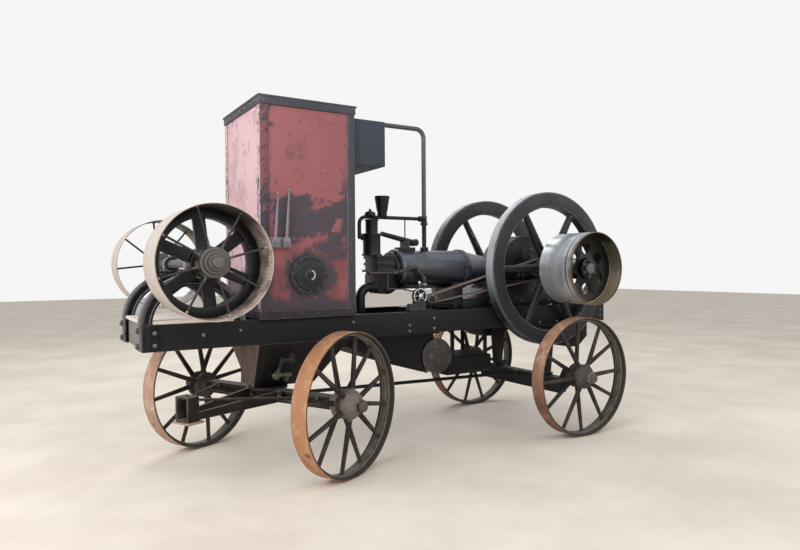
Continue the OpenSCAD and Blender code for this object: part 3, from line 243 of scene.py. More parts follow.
def parts_of(made):
    """The tree of a finished material, its object coordinates, and those split into X, Y and Z."""
    tree = made.node_tree
    place = tree.nodes["Texture Coordinate"].outputs["Object"]
    return tree, place, add(tree, "SeparateXYZ", {0: place}).outputs


def facing(tree, axis):
    """How far the surface faces along an axis, 1 when it looks straight along it."""
    return add(tree, "SeparateXYZ", {0: add(tree, "NewGeometry").outputs["Normal"]}).outputs[axis]


def round_axle(tree, place, centre, turn=0):
    """Distance from a cross axle and distance across from its middle, in metres."""
    local = add(tree, "Mapping", {"Vector": place, "Location": centre, "Rotation": (0, 0, turn)},
                vector_type="TEXTURE").outputs[0]
    flat = add(tree, "VectorMath", {0: local, 1: (1, 0, 1)}, operation="MULTIPLY").outputs[0]
    radius = add(tree, "VectorMath", {0: flat}, operation="LENGTH").outputs["Value"]
    return radius, add(tree, "SeparateXYZ", {0: local}).outputs["Y"]


# Finishes, each from what the real surface is

# Rolled channel steel under old black paint: nearly black, rubbed to grey along its edges
frame_black = coat("black_paint_on_channel_steel", "16161a", "252325", "2e2a2a", dust=0.2, specular=0.2,
                   edge="6d6763", edge_mm=4)
# Sand-cast iron with oil-soaked black paint: pitted, with light worn edges
cast_black = coat("oily_paint_on_sand_cast_iron", "141519", "2a292b", "302b29", patch_mm=60, wear=0.35,
                  dust=0.18, rough=0.38, bump=0.3, specular=0.3, edge="5c5d62")
# Channel steel in worn grey paint: chalky, with dark stains, pale dust and light rubbed edges
rail_grey = coat("chalky_grey_paint_on_channel_steel", "76726f", "544f4d", "8f8881", wear=0.45, dust=0.4,
                 rough=0.65, specular=0.3, edge="b9b3ac")
# Rolled angle iron in faded blue-grey paint: dull, chipped along the corners
trim_dark = coat("faded_paint_on_angle_iron", "40434b", "5c4548", "4b4a50", rough=0.6, specular=0.3,
                 edge="8d8f98", edge_mm=4)
# Riveted tank sheet in dark blue-grey paint: flat, slightly dusty
tank_paint = coat("dark_paint_on_tank_sheet", "343c46", "424e58", "4a4745", patch_mm=200, dust=0.35,
                  rough=0.6, specular=0.3, edge="66707a", edge_mm=4)
# Plate with soot and road dust on black paint: dull brown-black
sooty_plate = coat("sooty_dusty_steel_plate", "151417", "231f1f", "2f2927", rough=0.6, specular=0.15,
                   edge="4b4644", edge_mm=4)
# Wrought iron of the fore-carriage: dark, with rust in its pits, and lighter on top from road dust and a
# painted highlight
axle_iron = coat("dusty_wrought_iron", "1f1a1a", "3a2d28", "4b423c", patch_mm=70, wear=0.45, dust=0.38,
                 rough=0.62, bump=0.35, specular=0.2, edge="94897f")
tree, place, _ = parts_of(axle_iron)
# Upward faces lighter: road dust and a painted highlight
over(axle_iron, "6e625b", (facing(tree, "Z"), 0.6, 0.9), (grain(tree, place, 50), 0.3, 0.5))
# Turned steel shaft, dull with old oil
bright_steel = coat("oiled_turned_steel", "5d5d5f", "403f40", "504b47", patch_mm=40, metal=0.2)
# Forged levers handled to a grey shine
lever_steel = coat("handled_forged_steel", "77757d", "55535a", "6a665f", patch_mm=30, dust=0.25,
                   rough=0.45, metal=0.3)
# Oak-tanned leather belting, dusty and dry, darker where it runs
belt_leather = coat("dry_leather_belting", "6e5b57", "54443f", "857068", patch_mm=60, dust=0.4, rough=0.8,
                    specular=0.2, edge="8f8177", edge_mm=4)
# Dented fuel drum of painted sheet: scuffed brown-black with pale scratches
drum_brown = coat("scuffed_paint_on_drum_sheet", "2d2726", "6b605a", "4b403b", patch_mm=60, wear=0.42,
                  dust=0.4, specular=0.4, edge="8b8078")
# Brass and gunmetal fittings under a film of old oil: dark grey-brown, paler where the edges are rubbed
brass = coat("tarnished_brass_fitting", "3f3b3a", "2c2929", "504944", patch_mm=30, rough=0.42, metal=0.35,
             edge="958b80", edge_mm=3)
# Cast bronze draw-off cock: pale verdigris below, dark and oily above
cock_bronze = coat("verdigris_on_bronze_cock", "585b54", "3a3c38", "6f7267", patch_mm=30, wear=0.45,
                   dust=0.35, metal=0.3, edge="9fa396", edge_mm=4)
_, _, axes = parts_of(cock_bronze)
over(cock_bronze, "2e2d2d", (axes["Z"], 0.71, 0.76))
# Polished steel of the pump's ring: bright and smooth, with grey patches of old oil
ring_steel = coat("wiped_polished_steel", "c2c3c4", "6c6b6c", "8b8984", patch_mm=25, wear=0.35, dust=0.2,
                  rough=0.25, metal=0.85)
# Forged nuts and bolts: bare dark steel with bright corners
bolt_steel = coat("forged_bolt_steel", "3c3a3c", "55504e", "4d4641", patch_mm=15, metal=0.3, edge="94908e",
                  edge_mm=2)
# Rear hub nuts and rail bolts of bare forged steel, dusty and lighter than the paint round them
hub_steel = coat("dusty_forged_nuts", "68625f", "7b746f", "5a524d", patch_mm=20, metal=0.1, edge="a39d98",
                 edge_mm=3)
# Rusted bolts: orange-brown scale
rust_scale = coat("rusted_bolt_scale", "7d5a44", "a37c62", "5c4334", patch_mm=12, wear=0.5, dust=0.35,
                  rough=0.8, bump=0.5, specular=0.2)
# Rusted plate worn to a light brown where it drags
sole_rust = coat("light_rust_on_steel_plate", "9b8371", "6f5a4c", "b3a191", patch_mm=25, wear=0.45,
                 dust=0.4, rough=0.75, specular=0.25)


def sheet_red():
    """Mild steel sheet in red oxide paint, flaked to its dark coat low down; the side facing forwards is
    painted pale pink as painted light.
    """
    made = coat("red_oxide_on_sheet_with_painted_lit_front", "935a5d", "844e52", "9b686b", patch_mm=150, wear=0.5,
                dust=0.4, rough=0.68, bump=0.1, specular=0.25)
    tree, place, axes = parts_of(made)
    x, z = axes["X"], axes["Z"]
    blot = grain(tree, place, 150, 9, 0.7)
    cloud = grain(tree, place, 420, 7, 0.65)
    sway = add(tree, "Math", {0: blot, 1: 0.36, 2: -0.18}, operation="MULTIPLY_ADD").outputs[0]
    wide = add(tree, "Math", {0: cloud, 1: 0.9, 2: -0.45}, operation="MULTIPLY_ADD").outputs[0]

    def shifted(value, wave):
        """A place or distance moved by a wave, so that its edge runs unevenly."""
        return add(tree, "Math", {0: value, 1: wave}, operation="ADD").outputs[0]

    def either(first, second):
        """The mask that holds where either of two masks does."""
        return add(tree, "Math", {0: first, 1: second}, operation="MAXIMUM").outputs[0]

    over(made, "7c4a4e", (z, 2.0, 1.7), (cloud, 0.36, 0.6))
    # Flaked bands: across the middle, down both edges of the sheet and round the cast cover
    rough_x = shifted(x, sway)
    rough_z = shifted(shifted(z, sway), wide)
    band = mask(tree, (rough_z, 1.63, 1.69), (rough_z, 1.97, 1.91), (shifted(rough_x, wide), 1.27, 1.2))
    rear_edge = mask(tree, (rough_x, 0.715, 0.685), (z, 1.6, 1.68))
    edges = either(mask(tree, (rough_x, 1.265, 1.295)), rear_edge)
    edges = mask(tree, edges, either(mask(tree, (z, 2.35, 1.95)), mask(tree, (blot, 0.5, 0.56))))
    reach, _ = round_axle(tree, place, spot(COVER[0], 0, COVER[1]))
    halo = mask(tree, (shifted(reach, sway), 0.215, 0.17))
    foot = mask(tree, (shifted(z, sway), 1.31, 1.26))
    flaked = either(either(band, edges), either(halo, foot))
    over(made, "4a454d", flaked)
    over(made, "5d4349", flaked, (grain(tree, place, 60), 0.5, 0.68))
    # Small chips 10 to 40 mm across all over, and two thumbed smudges high up
    chips = grain(tree, place, 34, 6, 0.72, (1, 1, 0.6))
    over(made, "54494e", (chips, 0.6, 0.64), (cloud, 0.34, 0.5))
    for smudge_x in (-35, -125):
        thumb = add(tree, "Mapping", {"Vector": place, "Location": spot(smudge_x, 0, 2345),
                                      "Scale": (0.045, 1, 0.075)}, vector_type="TEXTURE").outputs[0]
        thumb = add(tree, "VectorMath", {0: thumb, 1: (1, 0, 1)}, operation="MULTIPLY").outputs[0]
        smudge = add(tree, "VectorMath", {0: thumb}, operation="LENGTH").outputs["Value"]
        over(made, "6a4a50", (smudge, 1.2, 0.5), (blot, 0.3, 0.6))
    over(made, "5c2f36", (z, 1.175, 1.155), (cloud, 0.3, 0.5))
    # Painted light: the side that faces forwards is painted pale pink as the lit side, scratched through to
    # blue-grey and darker low down
    front = (facing(tree, "X"), 0.6, 0.9)
    over(made, "cba9ad", front)
    over(made, "8f8d98", front, (grain(tree, place, 90, 8, 0.7, (1, 1, 0.7)), 0.55, 0.62))
    over(made, "b8969b", front, (grain(tree, place, 240), 0.5, 0.66))
    over(made, "6b5a61", front, (shifted(z, sway), 1.5, 1.4))
    return made


def angle_finish(name, dark):
    """Angle iron in blue-grey paint; the tower's front corners wear the sheet's red over it, and their faces
    turned forwards are painted pale pink as painted light.
    """
    made = coat(name, dark, "5c4548", "4b4a50", rough=0.6, specular=0.3, edge="8d8f98", edge_mm=4)
    tree, place, axes = parts_of(made)
    blot = grain(tree, place, 70, 8, 0.7)
    forwards = facing(tree, "X")
    front = (forwards, 0.6, 0.9)
    near_front = mask(tree, (axes["X"], 1.2, 1.25), (forwards, 0.5, 0.2))
    over(made, "7b4b50", near_front, (blot, 0.4, 0.48))
    over(made, "3f3b43", near_front, (axes["Z"], 2.15, 1.95), (blot, 0.62, 0.54))
    # Painted light: faces turned forwards painted pale pink as the lit side, with blue-grey scratches
    over(made, "c4a5a9", front, (blot, 0.42, 0.5))
    over(made, "8f8d98", front, (blot, 0.42, 0.34))
    return made


def flywheel_finish():
    """Cast flywheels in blue-black paint: rim faces nearly black, turned rims rubbed to pale steel, painted
    lighter towards the top as a highlight.
    """
    made = coat("blue_black_paint_on_cast_flywheel", "191b1f", "27282c", "2a2828", patch_mm=120, wear=0.35,
                rough=0.42, specular=0.35, edge="b4b6bc", edge_mm=8)
    tree, place, axes = parts_of(made)
    radius, across = round_axle(tree, place, spot(CRANK[0], 0, CRANK[1]))
    # Turned outside of the rims, with a painted highlight fading to dark towards the bottom, and painted
    # shade on the far wheel
    outer = mask(tree, (radius, 0.6965, 0.6985), (grain(tree, place, 150, 7), 0.25, 0.5))
    over(made, "9fa4ab", outer, (axes["Z"], 1.1, 1.6))
    over(made, "63666c", outer, (across, 0.0, -0.05))
    # Yellow-green paint from an older coat, showing in flakes 10 to 30 mm across on the lower rim
    flakes = grain(tree, place, 28, 6, 0.7)
    over(made, "8c8458", (flakes, 0.64, 0.68), (axes["Z"], 1.35, 1.05), (radius, 0.56, 0.6))
    return made


def cover_finish():
    """Cast cover under oily paint, with a painted highlight: a bright crescent on its raised centre."""
    made = coat("oily_paint_on_cast_cover", "1a1a1e", "2c2b2e", "2f2b2b", patch_mm=50, wear=0.35,
                dust=0.25, rough=0.4, bump=0.3, specular=0.35, edge="77777c")
    _, _, axes = parts_of(made)
    # Painted highlight: the bright crescent on the front of the raised centre
    over(made, "b9b9bd", (axes["Y"], 0.4527, 0.4537))
    return made


def cheek_finish():
    """Cast arches at the front: oily black webs, their rims a dusty grey that is partly painted light."""
    made = coat("handled_cast_iron_arch_with_painted_light", "151519", "29272a", "312c2a", patch_mm=60, wear=0.35, dust=0.2,
                bump=0.3, specular=0.2, edge="9c9a99")
    tree, place, axes = parts_of(made)
    outwards = add(tree, "Math", {0: facing(tree, "X"), 1: facing(tree, "Z")}, operation="MAXIMUM").outputs[0]
    dusty = grain(tree, place, 60)
    # Faces turned forwards and up painted grey: partly dust and handling, partly painted light
    over(made, "77757a", (outwards, 0.3, 0.5), (dusty, 0.2, 0.45))
    # Grey band round the outer edge of the arch, below the bearing: partly wear, partly a painted highlight
    # of a rounded rim
    radius, _ = round_axle(tree, place, spot(FRONT_SHAFT[0], 0, 1110))
    over(made, "6b696d", (radius, 0.316, 0.326), (axes["Z"], 1.41, 1.37), (dusty, 0.3, 0.5))
    return made


def plate_hopper():
    """Sooty plate sump: black sides, and a lighter brown front face."""
    made = coat("sooty_hopper_plate_with_brown_front", "1b191b", "282423", "383130", patch_mm=120, dust=0.35,
                rough=0.6, specular=0.15, edge="6a5f5a")
    tree, place, _ = parts_of(made)
    over(made, "73605a", (facing(tree, "X"), 0.6, 0.85), (grain(tree, place, 200), 0.25, 0.5))
    return made


def aluminium_paint():
    """Steel pipe in aluminium paint: pale, sooty brown-black below the branch and dusty at the top."""
    made = coat("aluminium_paint_on_steel_pipe", "59565e", "454248", "5f5a5b", patch_mm=70, wear=0.35,
                specular=0.3)
    tree, place, axes = parts_of(made)
    wave = add(tree, "Math", {0: grain(tree, place, 90, 4), 1: 0.16}, operation="MULTIPLY").outputs[0]
    z = add(tree, "Math", {0: axes["Z"], 1: wave}, operation="ADD").outputs[0]
    over(made, "1c191e", (z, 2.06, 2.0))
    over(made, "524e4e", (z, 2.74, 2.80))
    return made


def enamelled_jacket():
    """Cast barrel in blue-black enamel: a painted sheen along the top, painted shade near black below, a
    paler front band.
    """
    made = coat("blue_black_enamel_on_cast_barrel", "2a2c34", "3b4048", "343337", patch_mm=120, wear=0.3,
                dust=0.2, rough=0.24, bump=0.06, specular=0.5, edge="8d929a", edge_mm=6)
    tree, place, axes = parts_of(made)
    x, z = axes["X"], axes["Z"]
    dusty = grain(tree, place, 180)
    # Painted sheen: a lighter band along the upper side, and a dimmer one along the top
    over(made, "4f5663", (z, 1.535, 1.57), (z, 1.622, 1.60), (dusty, 0.25, 0.5))
    over(made, "3b3c46", (z, 1.61, 1.64), (dusty, 0.3, 0.6))
    over(made, "4f555e", (x, -0.003, -0.001), (x, 0.030, 0.028))
    # Painted light on the upper side of the cone behind
    over(made, "666a72", (x, -0.685, -0.69), (z, 1.42, 1.52), (dusty, 0.2, 0.5))
    # Painted shade: near black on the lower side
    over(made, "141317", (z, 1.44, 1.34))
    return made


def weathered_deal():
    """Sawn deal boards, bare and bleached cream, with grain lines about 8 mm apart along each board."""
    made = coat("bleached_sawn_deal", "d6cdc4", "b7aba0", "c6bcb2", patch_mm=110, dust=0.35, rough=0.8,
                bump=0.1, specular=0.2)
    tree, place, _ = parts_of(made)
    lines = grain(tree, place, 16, 4, 0.6, (0.04, 1, 1))
    over(made, "9a8c7f", (lines, 0.5, 0.7), (grain(tree, place, 200), 0.3, 0.6))
    return made


def wheel_finish(wheel):
    """Cast hub and round spokes in dark paint: a pale hub, and a paler ring with a dark lip at the rim."""
    _, _, turn, side, _ = WHEELS[wheel]
    made = coat("dusty_wheel_paint_" + wheel, "2b2827", "403936", "4f4641", patch_mm=50, dust=0.4,
                rough=0.6, bump=0.25, specular=0.2, edge="8a7d74", edge_mm=3)
    tree, place, _ = parts_of(made)
    radius, across = round_axle(tree, place, wheel_spot(wheel, 0, 0, 0), turn)
    cloud = grain(tree, place, 70)
    over(made, "453b37", (radius, 0.22, 0.34), (cloud, 0.3, 0.6))
    # Hub, the near front one palest, and the face of its cap
    hub = (radius, 0.125, 0.105)
    over(made, "786e68" if side > 0 and turn else "463f3c", hub, (cloud, 0.1, 0.35))
    over(made, "564e4a", hub, (grain(tree, place, 45), 0.42, 0.75))
    over(made, "55504c", (radius, 0.06, 0.055), (across, side * 0.128, side * 0.132))
    # Ring inside the rim, and the dark lip on each side of the rim's middle
    over(made, "5c5953", (radius, 0.484, 0.488))
    over(made, "79736b", (radius, 0.486, 0.489), (cloud, 0.3, 0.75))
    out = add(tree, "Math", {0: across}, operation="ABSOLUTE").outputs[0]
    over(made, "2b2927", (out, 0.012, 0.014), (out, 0.021, 0.019), (radius, 0.482, 0.486))
    return made


def tyre_finish(wheel):
    """Rolled steel tyre: its tread worn through to tan rust, its sides in the wheel's dark paint."""
    _, _, turn, side, _ = WHEELS[wheel]
    made = coat("rolled_tyre_steel_" + wheel, "3b3633", "4f4641", "4d453e", patch_mm=40, wear=0.42,
                dust=0.35, rough=0.7, bump=0.25, specular=0.15, edge="8b7767", edge_mm=3)
    tree, place, axes = parts_of(made)
    radius, _ = round_axle(tree, place, wheel_spot(wheel, 0, 0, 0), turn)
    tread = (radius, 0.5155, 0.518)
    cloud = grain(tree, place, 90, 8, 0.65)
    fine = grain(tree, place, 14, 5, 0.7)
    base, pale, pits = "9c7660", "bb9a86", "6a4d3f"
    if turn:
        base, pale, pits = ("a8795a", "b98f72", "8c6047") if side > 0 else ("a98a78", "bfa595", "8a6450")
    over(made, base, tread)
    over(made, pale, tread, (cloud, 0.46, 0.66))
    over(made, pits, tread, (fine, 0.52, 0.7))
    # Painted shade: the rear treads darker towards the ground
    if not turn:
        over(made, "6e5142", tread, (axes["Z"], 0.75, 0.3), (cloud, 0.3, 0.55))
    return made


def front_pulley_finish():
    """Pressed steel pulley: a belt-worn cream rim, a dusty brown inside with painted shadow at its top, a
    black oily hub and rods.
    """
    made = coat("belt_worn_pulley_rim", "b3a99f", "9b8c80", "bbb2a9", patch_mm=140, dust=0.4, bump=0.08,
                specular=0.35)
    tree, place, axes = parts_of(made)
    radius, across = round_axle(tree, place, spot(FRONT_SHAFT[0], 0, FRONT_SHAFT[1]))
    cloud = grain(tree, place, 90)
    inside = (radius, 0.3545, 0.3535)
    over(made, "b3a59a", inside)
    over(made, "77675f", inside, (cloud, 0.46, 0.62))
    # Painted shadow: the inside of the rim dark at the top
    over(made, "3a3433", inside, (axes["Z"], 1.70, 1.80))
    # Rods, and the greyer hub
    over(made, "34302f", (radius, 0.335, 0.325))
    over(made, "5b5653", (radius, 0.14, 0.12))
    # Lines about 11 mm apart, rubbed round the rim by the belt, and the dark corners of the stepped hub
    lines = add(tree, "TexNoise", {"W": across, "Scale": 90, "Detail": 3}, noise_dimensions="1D")
    over(made, "c7bfb6", (radius, 0.3545, 0.356), (lines.outputs["Fac"], 0.5, 0.66))
    for step in (0.0535, 0.0735, 0.0955):
        over(made, "2b2826", (radius, step - 0.004, step - 0.001), (radius, step + 0.003, step))
    over(made, "6b5d55", (radius, 0.35, 0.3495), (radius, 0.341, 0.345))
    return made


def belt_pulley_finish():
    """Rolled steel belt pulley: polished blue-grey by its belt, with a brown lip, and dusty inside, painted
    light low down inside and painted shadow at the top.
    """
    made = coat("belt_polished_steel_drum", "b4b8be", "9a9fa6", "969798", patch_mm=220, rough=0.28,
                bump=0.05, metal=0.6)
    tree, place, axes = parts_of(made)
    radius, across = round_axle(tree, place, spot(CRANK[0], 0, CRANK[1]))
    cloud = grain(tree, place, 160, 7)
    # Duller bands about 65 mm wide round the drum
    streaks = add(tree, "TexNoise", {"W": across, "Scale": 15, "Detail": 3}, noise_dimensions="1D")
    over(made, "a0a4aa", (streaks.outputs["Fac"], 0.42, 0.62), (cloud, 0.3, 0.6))
    # Dark groove beside the brown lip at the open side
    over(made, "3f4043", (across, 0.955, 0.96), (across, 0.972, 0.967))
    over(made, "8d8374", (across, 0.985, 1.0), (cloud, 0.25, 0.5))
    inside = (radius, 0.3035, 0.302)
    over(made, "6e655b", inside)
    # Painted light on the lower inside, over dust; painted shadow at the top inside
    over(made, "a4967f", inside, (axes["Z"], 1.6, 1.3), (cloud, 0.25, 0.45))
    over(made, "2c2826", inside, (axes["Z"], 1.66, 1.74))
    # Oily black web, and the edge of the drum
    over(made, "101012", (radius, 0.2955, 0.293))
    over(made, "5a4c3c", (across, 1.018, 1.024), (radius, 0.295, 0.301))
    return made


tower_red = sheet_red()
pipe_silver = aluminium_paint()
jacket_enamel = enamelled_jacket()
angle_paint = angle_finish("faded_paint_on_corner_angle", "3d4047")
rivet_paint = angle_finish("faded_paint_on_rivet_heads", "2c2d33")
fly_iron = flywheel_finish()
cover_paint = cover_finish()
cheek_black = cheek_finish()
hopper_plate = plate_hopper()
board_wood = weathered_deal()
front_pulley_steel = front_pulley_finish()
belt_pulley_steel = belt_pulley_finish()
wheel_paint = {w: wheel_finish(w) for w in WHEELS}
tyre_steel = {w: tyre_finish(w) for w in WHEELS}

finish_of_slot = {
    "painted_steel_black": frame_black,
    "grey_channel": rail_grey,
    "boards": board_wood,
    "cast_black": cast_black,
    "tower_red": tower_red,
    "tower_trim": trim_dark,
    "levers": lever_steel,
    "tank_green": tank_paint,
    "pipe_grey": pipe_silver,
    "pipe_dark": cast_black,
    "sump_black": sooty_plate,
    "cock": cock_bronze,
    "drum": drum_brown,
    "jacket": jacket_enamel,
    "pump": cast_black,
    "fuel_line": brass,
    "belt": belt_leather,
    "axle_iron": axle_iron,
    "shaft_steel": bright_steel,
    "flywheel_iron": fly_iron,
    "pulley_steel": belt_pulley_steel,
    "front_pulley_steel": front_pulley_steel,
}


def finish_of(node):
    """The finish of a CAD node."""
    for wheel in WHEELS:
        if node == wheel + "_tyre":
            return tyre_steel[wheel]
        if node == wheel + "_wheel":
            return wheel_paint[wheel]
    if node in ("front_cheeks", "front_bearings"):
        return cheek_black
    if node == "tower_angles":
        return angle_paint
    if node == "round_cover":
        return cover_paint
    if node == "sump_tank":
        return hopper_plate
    return finish_of_slot[slot_of_node[node]]


# Tools for the pieces


def alone(piece):
    """Leaves one piece selected and active."""
    bpy.ops.object.select_all(action="DESELECT")
    piece.select_set(True)
    bpy.context.view_layer.objects.active = piece


def settle(piece):
    """Puts a piece's place into its mesh."""
    alone(piece)
    bpy.ops.object.transform_apply(location=True, rotation=True, scale=True)


def stood(place, way):
    """The move that takes a form drawn up the Z axis to a place and a direction."""
    return Matrix.Translation(place) @ Vector(way).normalized().to_track_quat("Z", "Y").to_matrix().to_4x4()


def put(piece, place, way=Z):
    """Moves a piece drawn up the Z axis to a place and turns it along a direction."""
    piece.matrix_world = stood(place, way)
    settle(piece)
    return piece


def smooth(piece, angle=32):
    """Shades a piece smooth across its shallow edges."""
    alone(piece)
    bpy.ops.object.shade_smooth_by_angle(angle=math.radians(angle))


def dress(piece, name, body, finish):
    """Names a finished piece, gives it its finish and lets it ride on its body."""
    piece.name = name
    piece.data.materials.clear()
    piece.data.materials.append(finish)
    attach(piece, body)


def cut_away(piece, test):
    """Deletes the faces whose normal passes a test, and leaves the piece open there."""
    alone(piece)
    bpy.ops.object.mode_set(mode="EDIT")
    bpy.ops.mesh.select_mode(type="FACE")
    bpy.ops.mesh.select_all(action="DESELECT")
    bpy.ops.object.mode_set(mode="OBJECT")
    for face in piece.data.polygons:
        face.select = test(face.normal)
    bpy.ops.object.mode_set(mode="EDIT")
    bpy.ops.mesh.delete(type="FACE")
    bpy.ops.object.mode_set(mode="OBJECT")


def modify(piece, kind, **settings):
    """Adds a modifier with its settings and applies it."""
    alone(piece)
    made = piece.modifiers.new(kind.lower(), kind)
    for name, value in settings.items():
        setattr(made, name, value)
    bpy.ops.object.modifier_apply(modifier=made.name)


def softened(node, width):
    """A copy of a CAD node in its place, its facets merged and its sharp edges rounded by width mm."""
    piece = bpy.data.objects.new(node + "_soft", nodes[node].data.copy())
    bpy.context.scene.collection.objects.link(piece)
    alone(piece)
    bpy.ops.object.mode_set(mode="EDIT")
    bpy.ops.mesh.select_all(action="SELECT")
    bpy.ops.mesh.remove_doubles(threshold=0.00003)
    bpy.ops.mesh.dissolve_limited(angle_limit=math.radians(0.7))
    if node in ("front_axle", "rear_axle"):
        bpy.ops.transform.shrink_fatten(value=-HUB_PLAY / 1000)
    bpy.ops.object.mode_set(mode="OBJECT")
    modify(piece, "BEVEL", width=width / 1000, segments=2, limit_method="ANGLE",
           angle_limit=math.radians(38), use_clamp_overlap=True)
    smooth(piece)
    dress(piece, node + "_soft", body_of_node[node], finish_of(node))
    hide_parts(node)


def turned(steps, sides=24):
    """A closed turned form up the Z axis: a disc extruded and scaled to each next (radius, height) in mm."""
    bpy.ops.object.select_all(action="DESELECT")
    radius, height = steps[0]
    bpy.ops.mesh.primitive_circle_add(vertices=sides, radius=radius / 1000, fill_type="NGON",
                                      location=(0, 0, height / 1000))
    made = bpy.context.object
    settle(made)
    bpy.ops.object.mode_set(mode="EDIT")
    bpy.ops.mesh.select_all(action="SELECT")
    for wide, high in steps[1:]:
        rise = (high - height) / 1000
        bpy.ops.mesh.extrude_region_move(TRANSFORM_OT_translate={"value": (0, 0, rise)})
        bpy.ops.transform.resize(value=(wide / radius, wide / radius, 1), center_override=(0, 0, high / 1000))
        radius, height = wide, high
    bpy.ops.mesh.select_all(action="SELECT")
    bpy.ops.mesh.normals_make_consistent(inside=False)
    bpy.ops.object.mode_set(mode="OBJECT")
    smooth(made)
    return made


def joined(pieces):
    """Several meshes as one."""
    bpy.context.view_layer.update()
    bpy.ops.object.select_all(action="DESELECT")
    for piece in pieces:
        piece.select_set(True)
    bpy.context.view_layer.objects.active = pieces[0]
    bpy.ops.object.join()
    settle(pieces[0])
    return pieces[0]


def assembled(pieces, name, body, finish):
    """Several meshes as one finished piece."""
    made = joined(pieces)
    smooth(made)
    dress(made, name, body, finish)


def twins(x, y, z, size):
    """One fastening on the left and its twin on the right, each facing outwards."""
    return [(spot(x, s * y, z), s * Y, size) for s in (1, -1)]


def around(middle, first, second, way, radius, angles, size):
    """A ring of fastenings facing one way, at angles in degrees from a first direction to a second."""
    ring = []
    for a in (math.radians(angle) for angle in angles):
        out = first * math.cos(a) + second * math.sin(a)
        ring.append((spot(*middle) + out * radius / 1000, way, size))
    return ring


def strew(name, master, spots, body, finish):
    """Copies of a master at each spot of (place, direction, size), each with its own mesh, as one piece."""
    copies = []
    for place, way, size in spots:
        made = bpy.data.objects.new(name, master.data.copy())
        bpy.context.scene.collection.objects.link(made)
        made.matrix_world = stood(place, way) @ Matrix.Scale(size, 4)
        copies.append(made)
    dress(joined(copies), name, body, finish)


def slab(low, high, place=spot, soft=0):
    """A block between two corners in mm, its edges rounded by soft mm."""
    middle = [(a + b) / 2 for a, b in zip(low, high)]
    size = [abs(b - a) / 1000 for a, b in zip(low, high)]
    bpy.ops.object.select_all(action="DESELECT")
    turn = PARK if place is steered else 0
    bpy.ops.mesh.primitive_cube_add(size=1, location=place(*middle), rotation=(0, 0, turn), scale=size)
    made = bpy.context.object
    settle(made)
    if soft:
        modify(made, "BEVEL", width=soft / 1000, segments=2, limit_method="NONE")
        smooth(made)
    return made


def bar(first, second, radius, sides=14):
    """A round rod between two points in metres, with a chamfer at both ends."""
    length = (second - first).length * 1000
    lip = min(2.0, radius * 0.3)
    made = turned([(radius - lip, 0), (radius, lip), (radius, length - lip), (radius - lip, length)], sides)
    return put(made, first, second - first)


# Masters of the fastenings, each up its own Z axis with its foot sunk a little

rivet = turned([(9, -1), (9, 1.2), (7.6, 3.4), (4.6, 5.2), (1.6, 5.8)], 12)
# Hexagon nut 30 mm across its flats on a washer, with the bolt's end standing proud
washer = turned([(20, -1), (20, 2.4), (19, 3)], 20)
hexagon = turned([(17.3, 2.6), (17.3, 13.6), (15.4, 15.6)], 6)
bolt_end = turned([(9.5, 15), (9.5, 20), (8, 22)], 14)
nut = joined([hexagon, washer, bolt_end])
smooth(nut, 28)
# Plain hexagon head 30 mm across its flats
head_top = turned([(17.3, -1), (17.3, 10), (15.2, 12)], 6)
head_foot = turned([(19, -1), (19, 1.6), (18.4, 2.2)], 18)
hex_head = joined([head_top, head_foot])
smooth(hex_head, 28)
# Collar that a spoke or rod stands in
collar = turned([(22, -2), (22, 5), (18.5, 10), (17, 12)], 18)

# CAD nodes by the rounding of their edges in mm

ROUNDING = {
    1.2: "pump_belt",
    2: "branch_pipe fuel_pipe",
    2.5: "floor_boards tower_angles belt_pulley front_pulleys " + " ".join(w + "_tyre" for w in WHEELS),
    3: "rails front_crossmember crossmembers cooling_tower control_levers hot_water_pipe exhaust_pipe "
       "vaporiser air_cup crankshaft front_shaft " + " ".join(w + "_wheel" for w in WHEELS),
    4: "front_cheeks front_bearings tower_cap round_cover sump_cock king_plate reach_rod fuel_pump "
       "rear_pedestals drawbar",
    5: "sump_tank fuel_drum cylinder_jacket rocker crank_guard rear_axle front_axle flywheels front_flywheel",
    6: "silencer_box cylinder_head under_box",
    7: "main_bearings",
    8: "header_tank",
    10: "engine_bed rear_tank",
}
width_of_node = {node: width for width, names in ROUNDING.items() for node in names.split()}
for node in slot_of_node:
    softened(node, width_of_node[node])

# Tower: rivets down both legs of each corner angle, the strip round its foot, rivets in it and the cap

rivets = []
for i in range(13):
    z = 1208 + 115 * i
    for x in (165, -525):
        rivets += twins(x, 428.3, z, 1)
    for y in (398, -398):
        rivets.append((spot(195.3, y, z), X, 1))
        if z < 2280:
            rivets.append((spot(-555.3, y, z), -X, 1))
strew("tower_rivets", rivet, rivets, "root", rivet_paint)

foot = slab((-555.6, -428.6, 1131), (195.6, 428.6, 1188))
cut_away(foot, lambda normal: abs(normal.z) > 0.9)
modify(foot, "SOLIDIFY", thickness=0.006, offset=1.0)
modify(foot, "BEVEL", width=0.0015, segments=2, limit_method="ANGLE", angle_limit=math.radians(40))
# Rolled flat bar in dark paint, the sheet's red showing through it and its edges rubbed pale
foot_paint = coat("rubbed_paint_on_flat_bar", "2c282d", "53303a", "3b3438", patch_mm=60, dust=0.4,
                  rough=0.6, specular=0.3, edge="b3a6a4", edge_mm=4)
dress(foot, "tower_foot_strip", "root", foot_paint)
rivets = []
for i in range(6):
    x = -525 + 138 * i
    rivets += twins(x, 434.6, 1160, 0.9) + twins(x, 435, 2688, 0.8)
for i in range(7):
    y = -390 + 130 * i
    rivets += [(spot(201.6, y, 1160), X, 0.9), (spot(202, y, 2688), X, 0.8)]
strew("tower_strip_rivets", rivet, rivets, "root", rivet_paint)

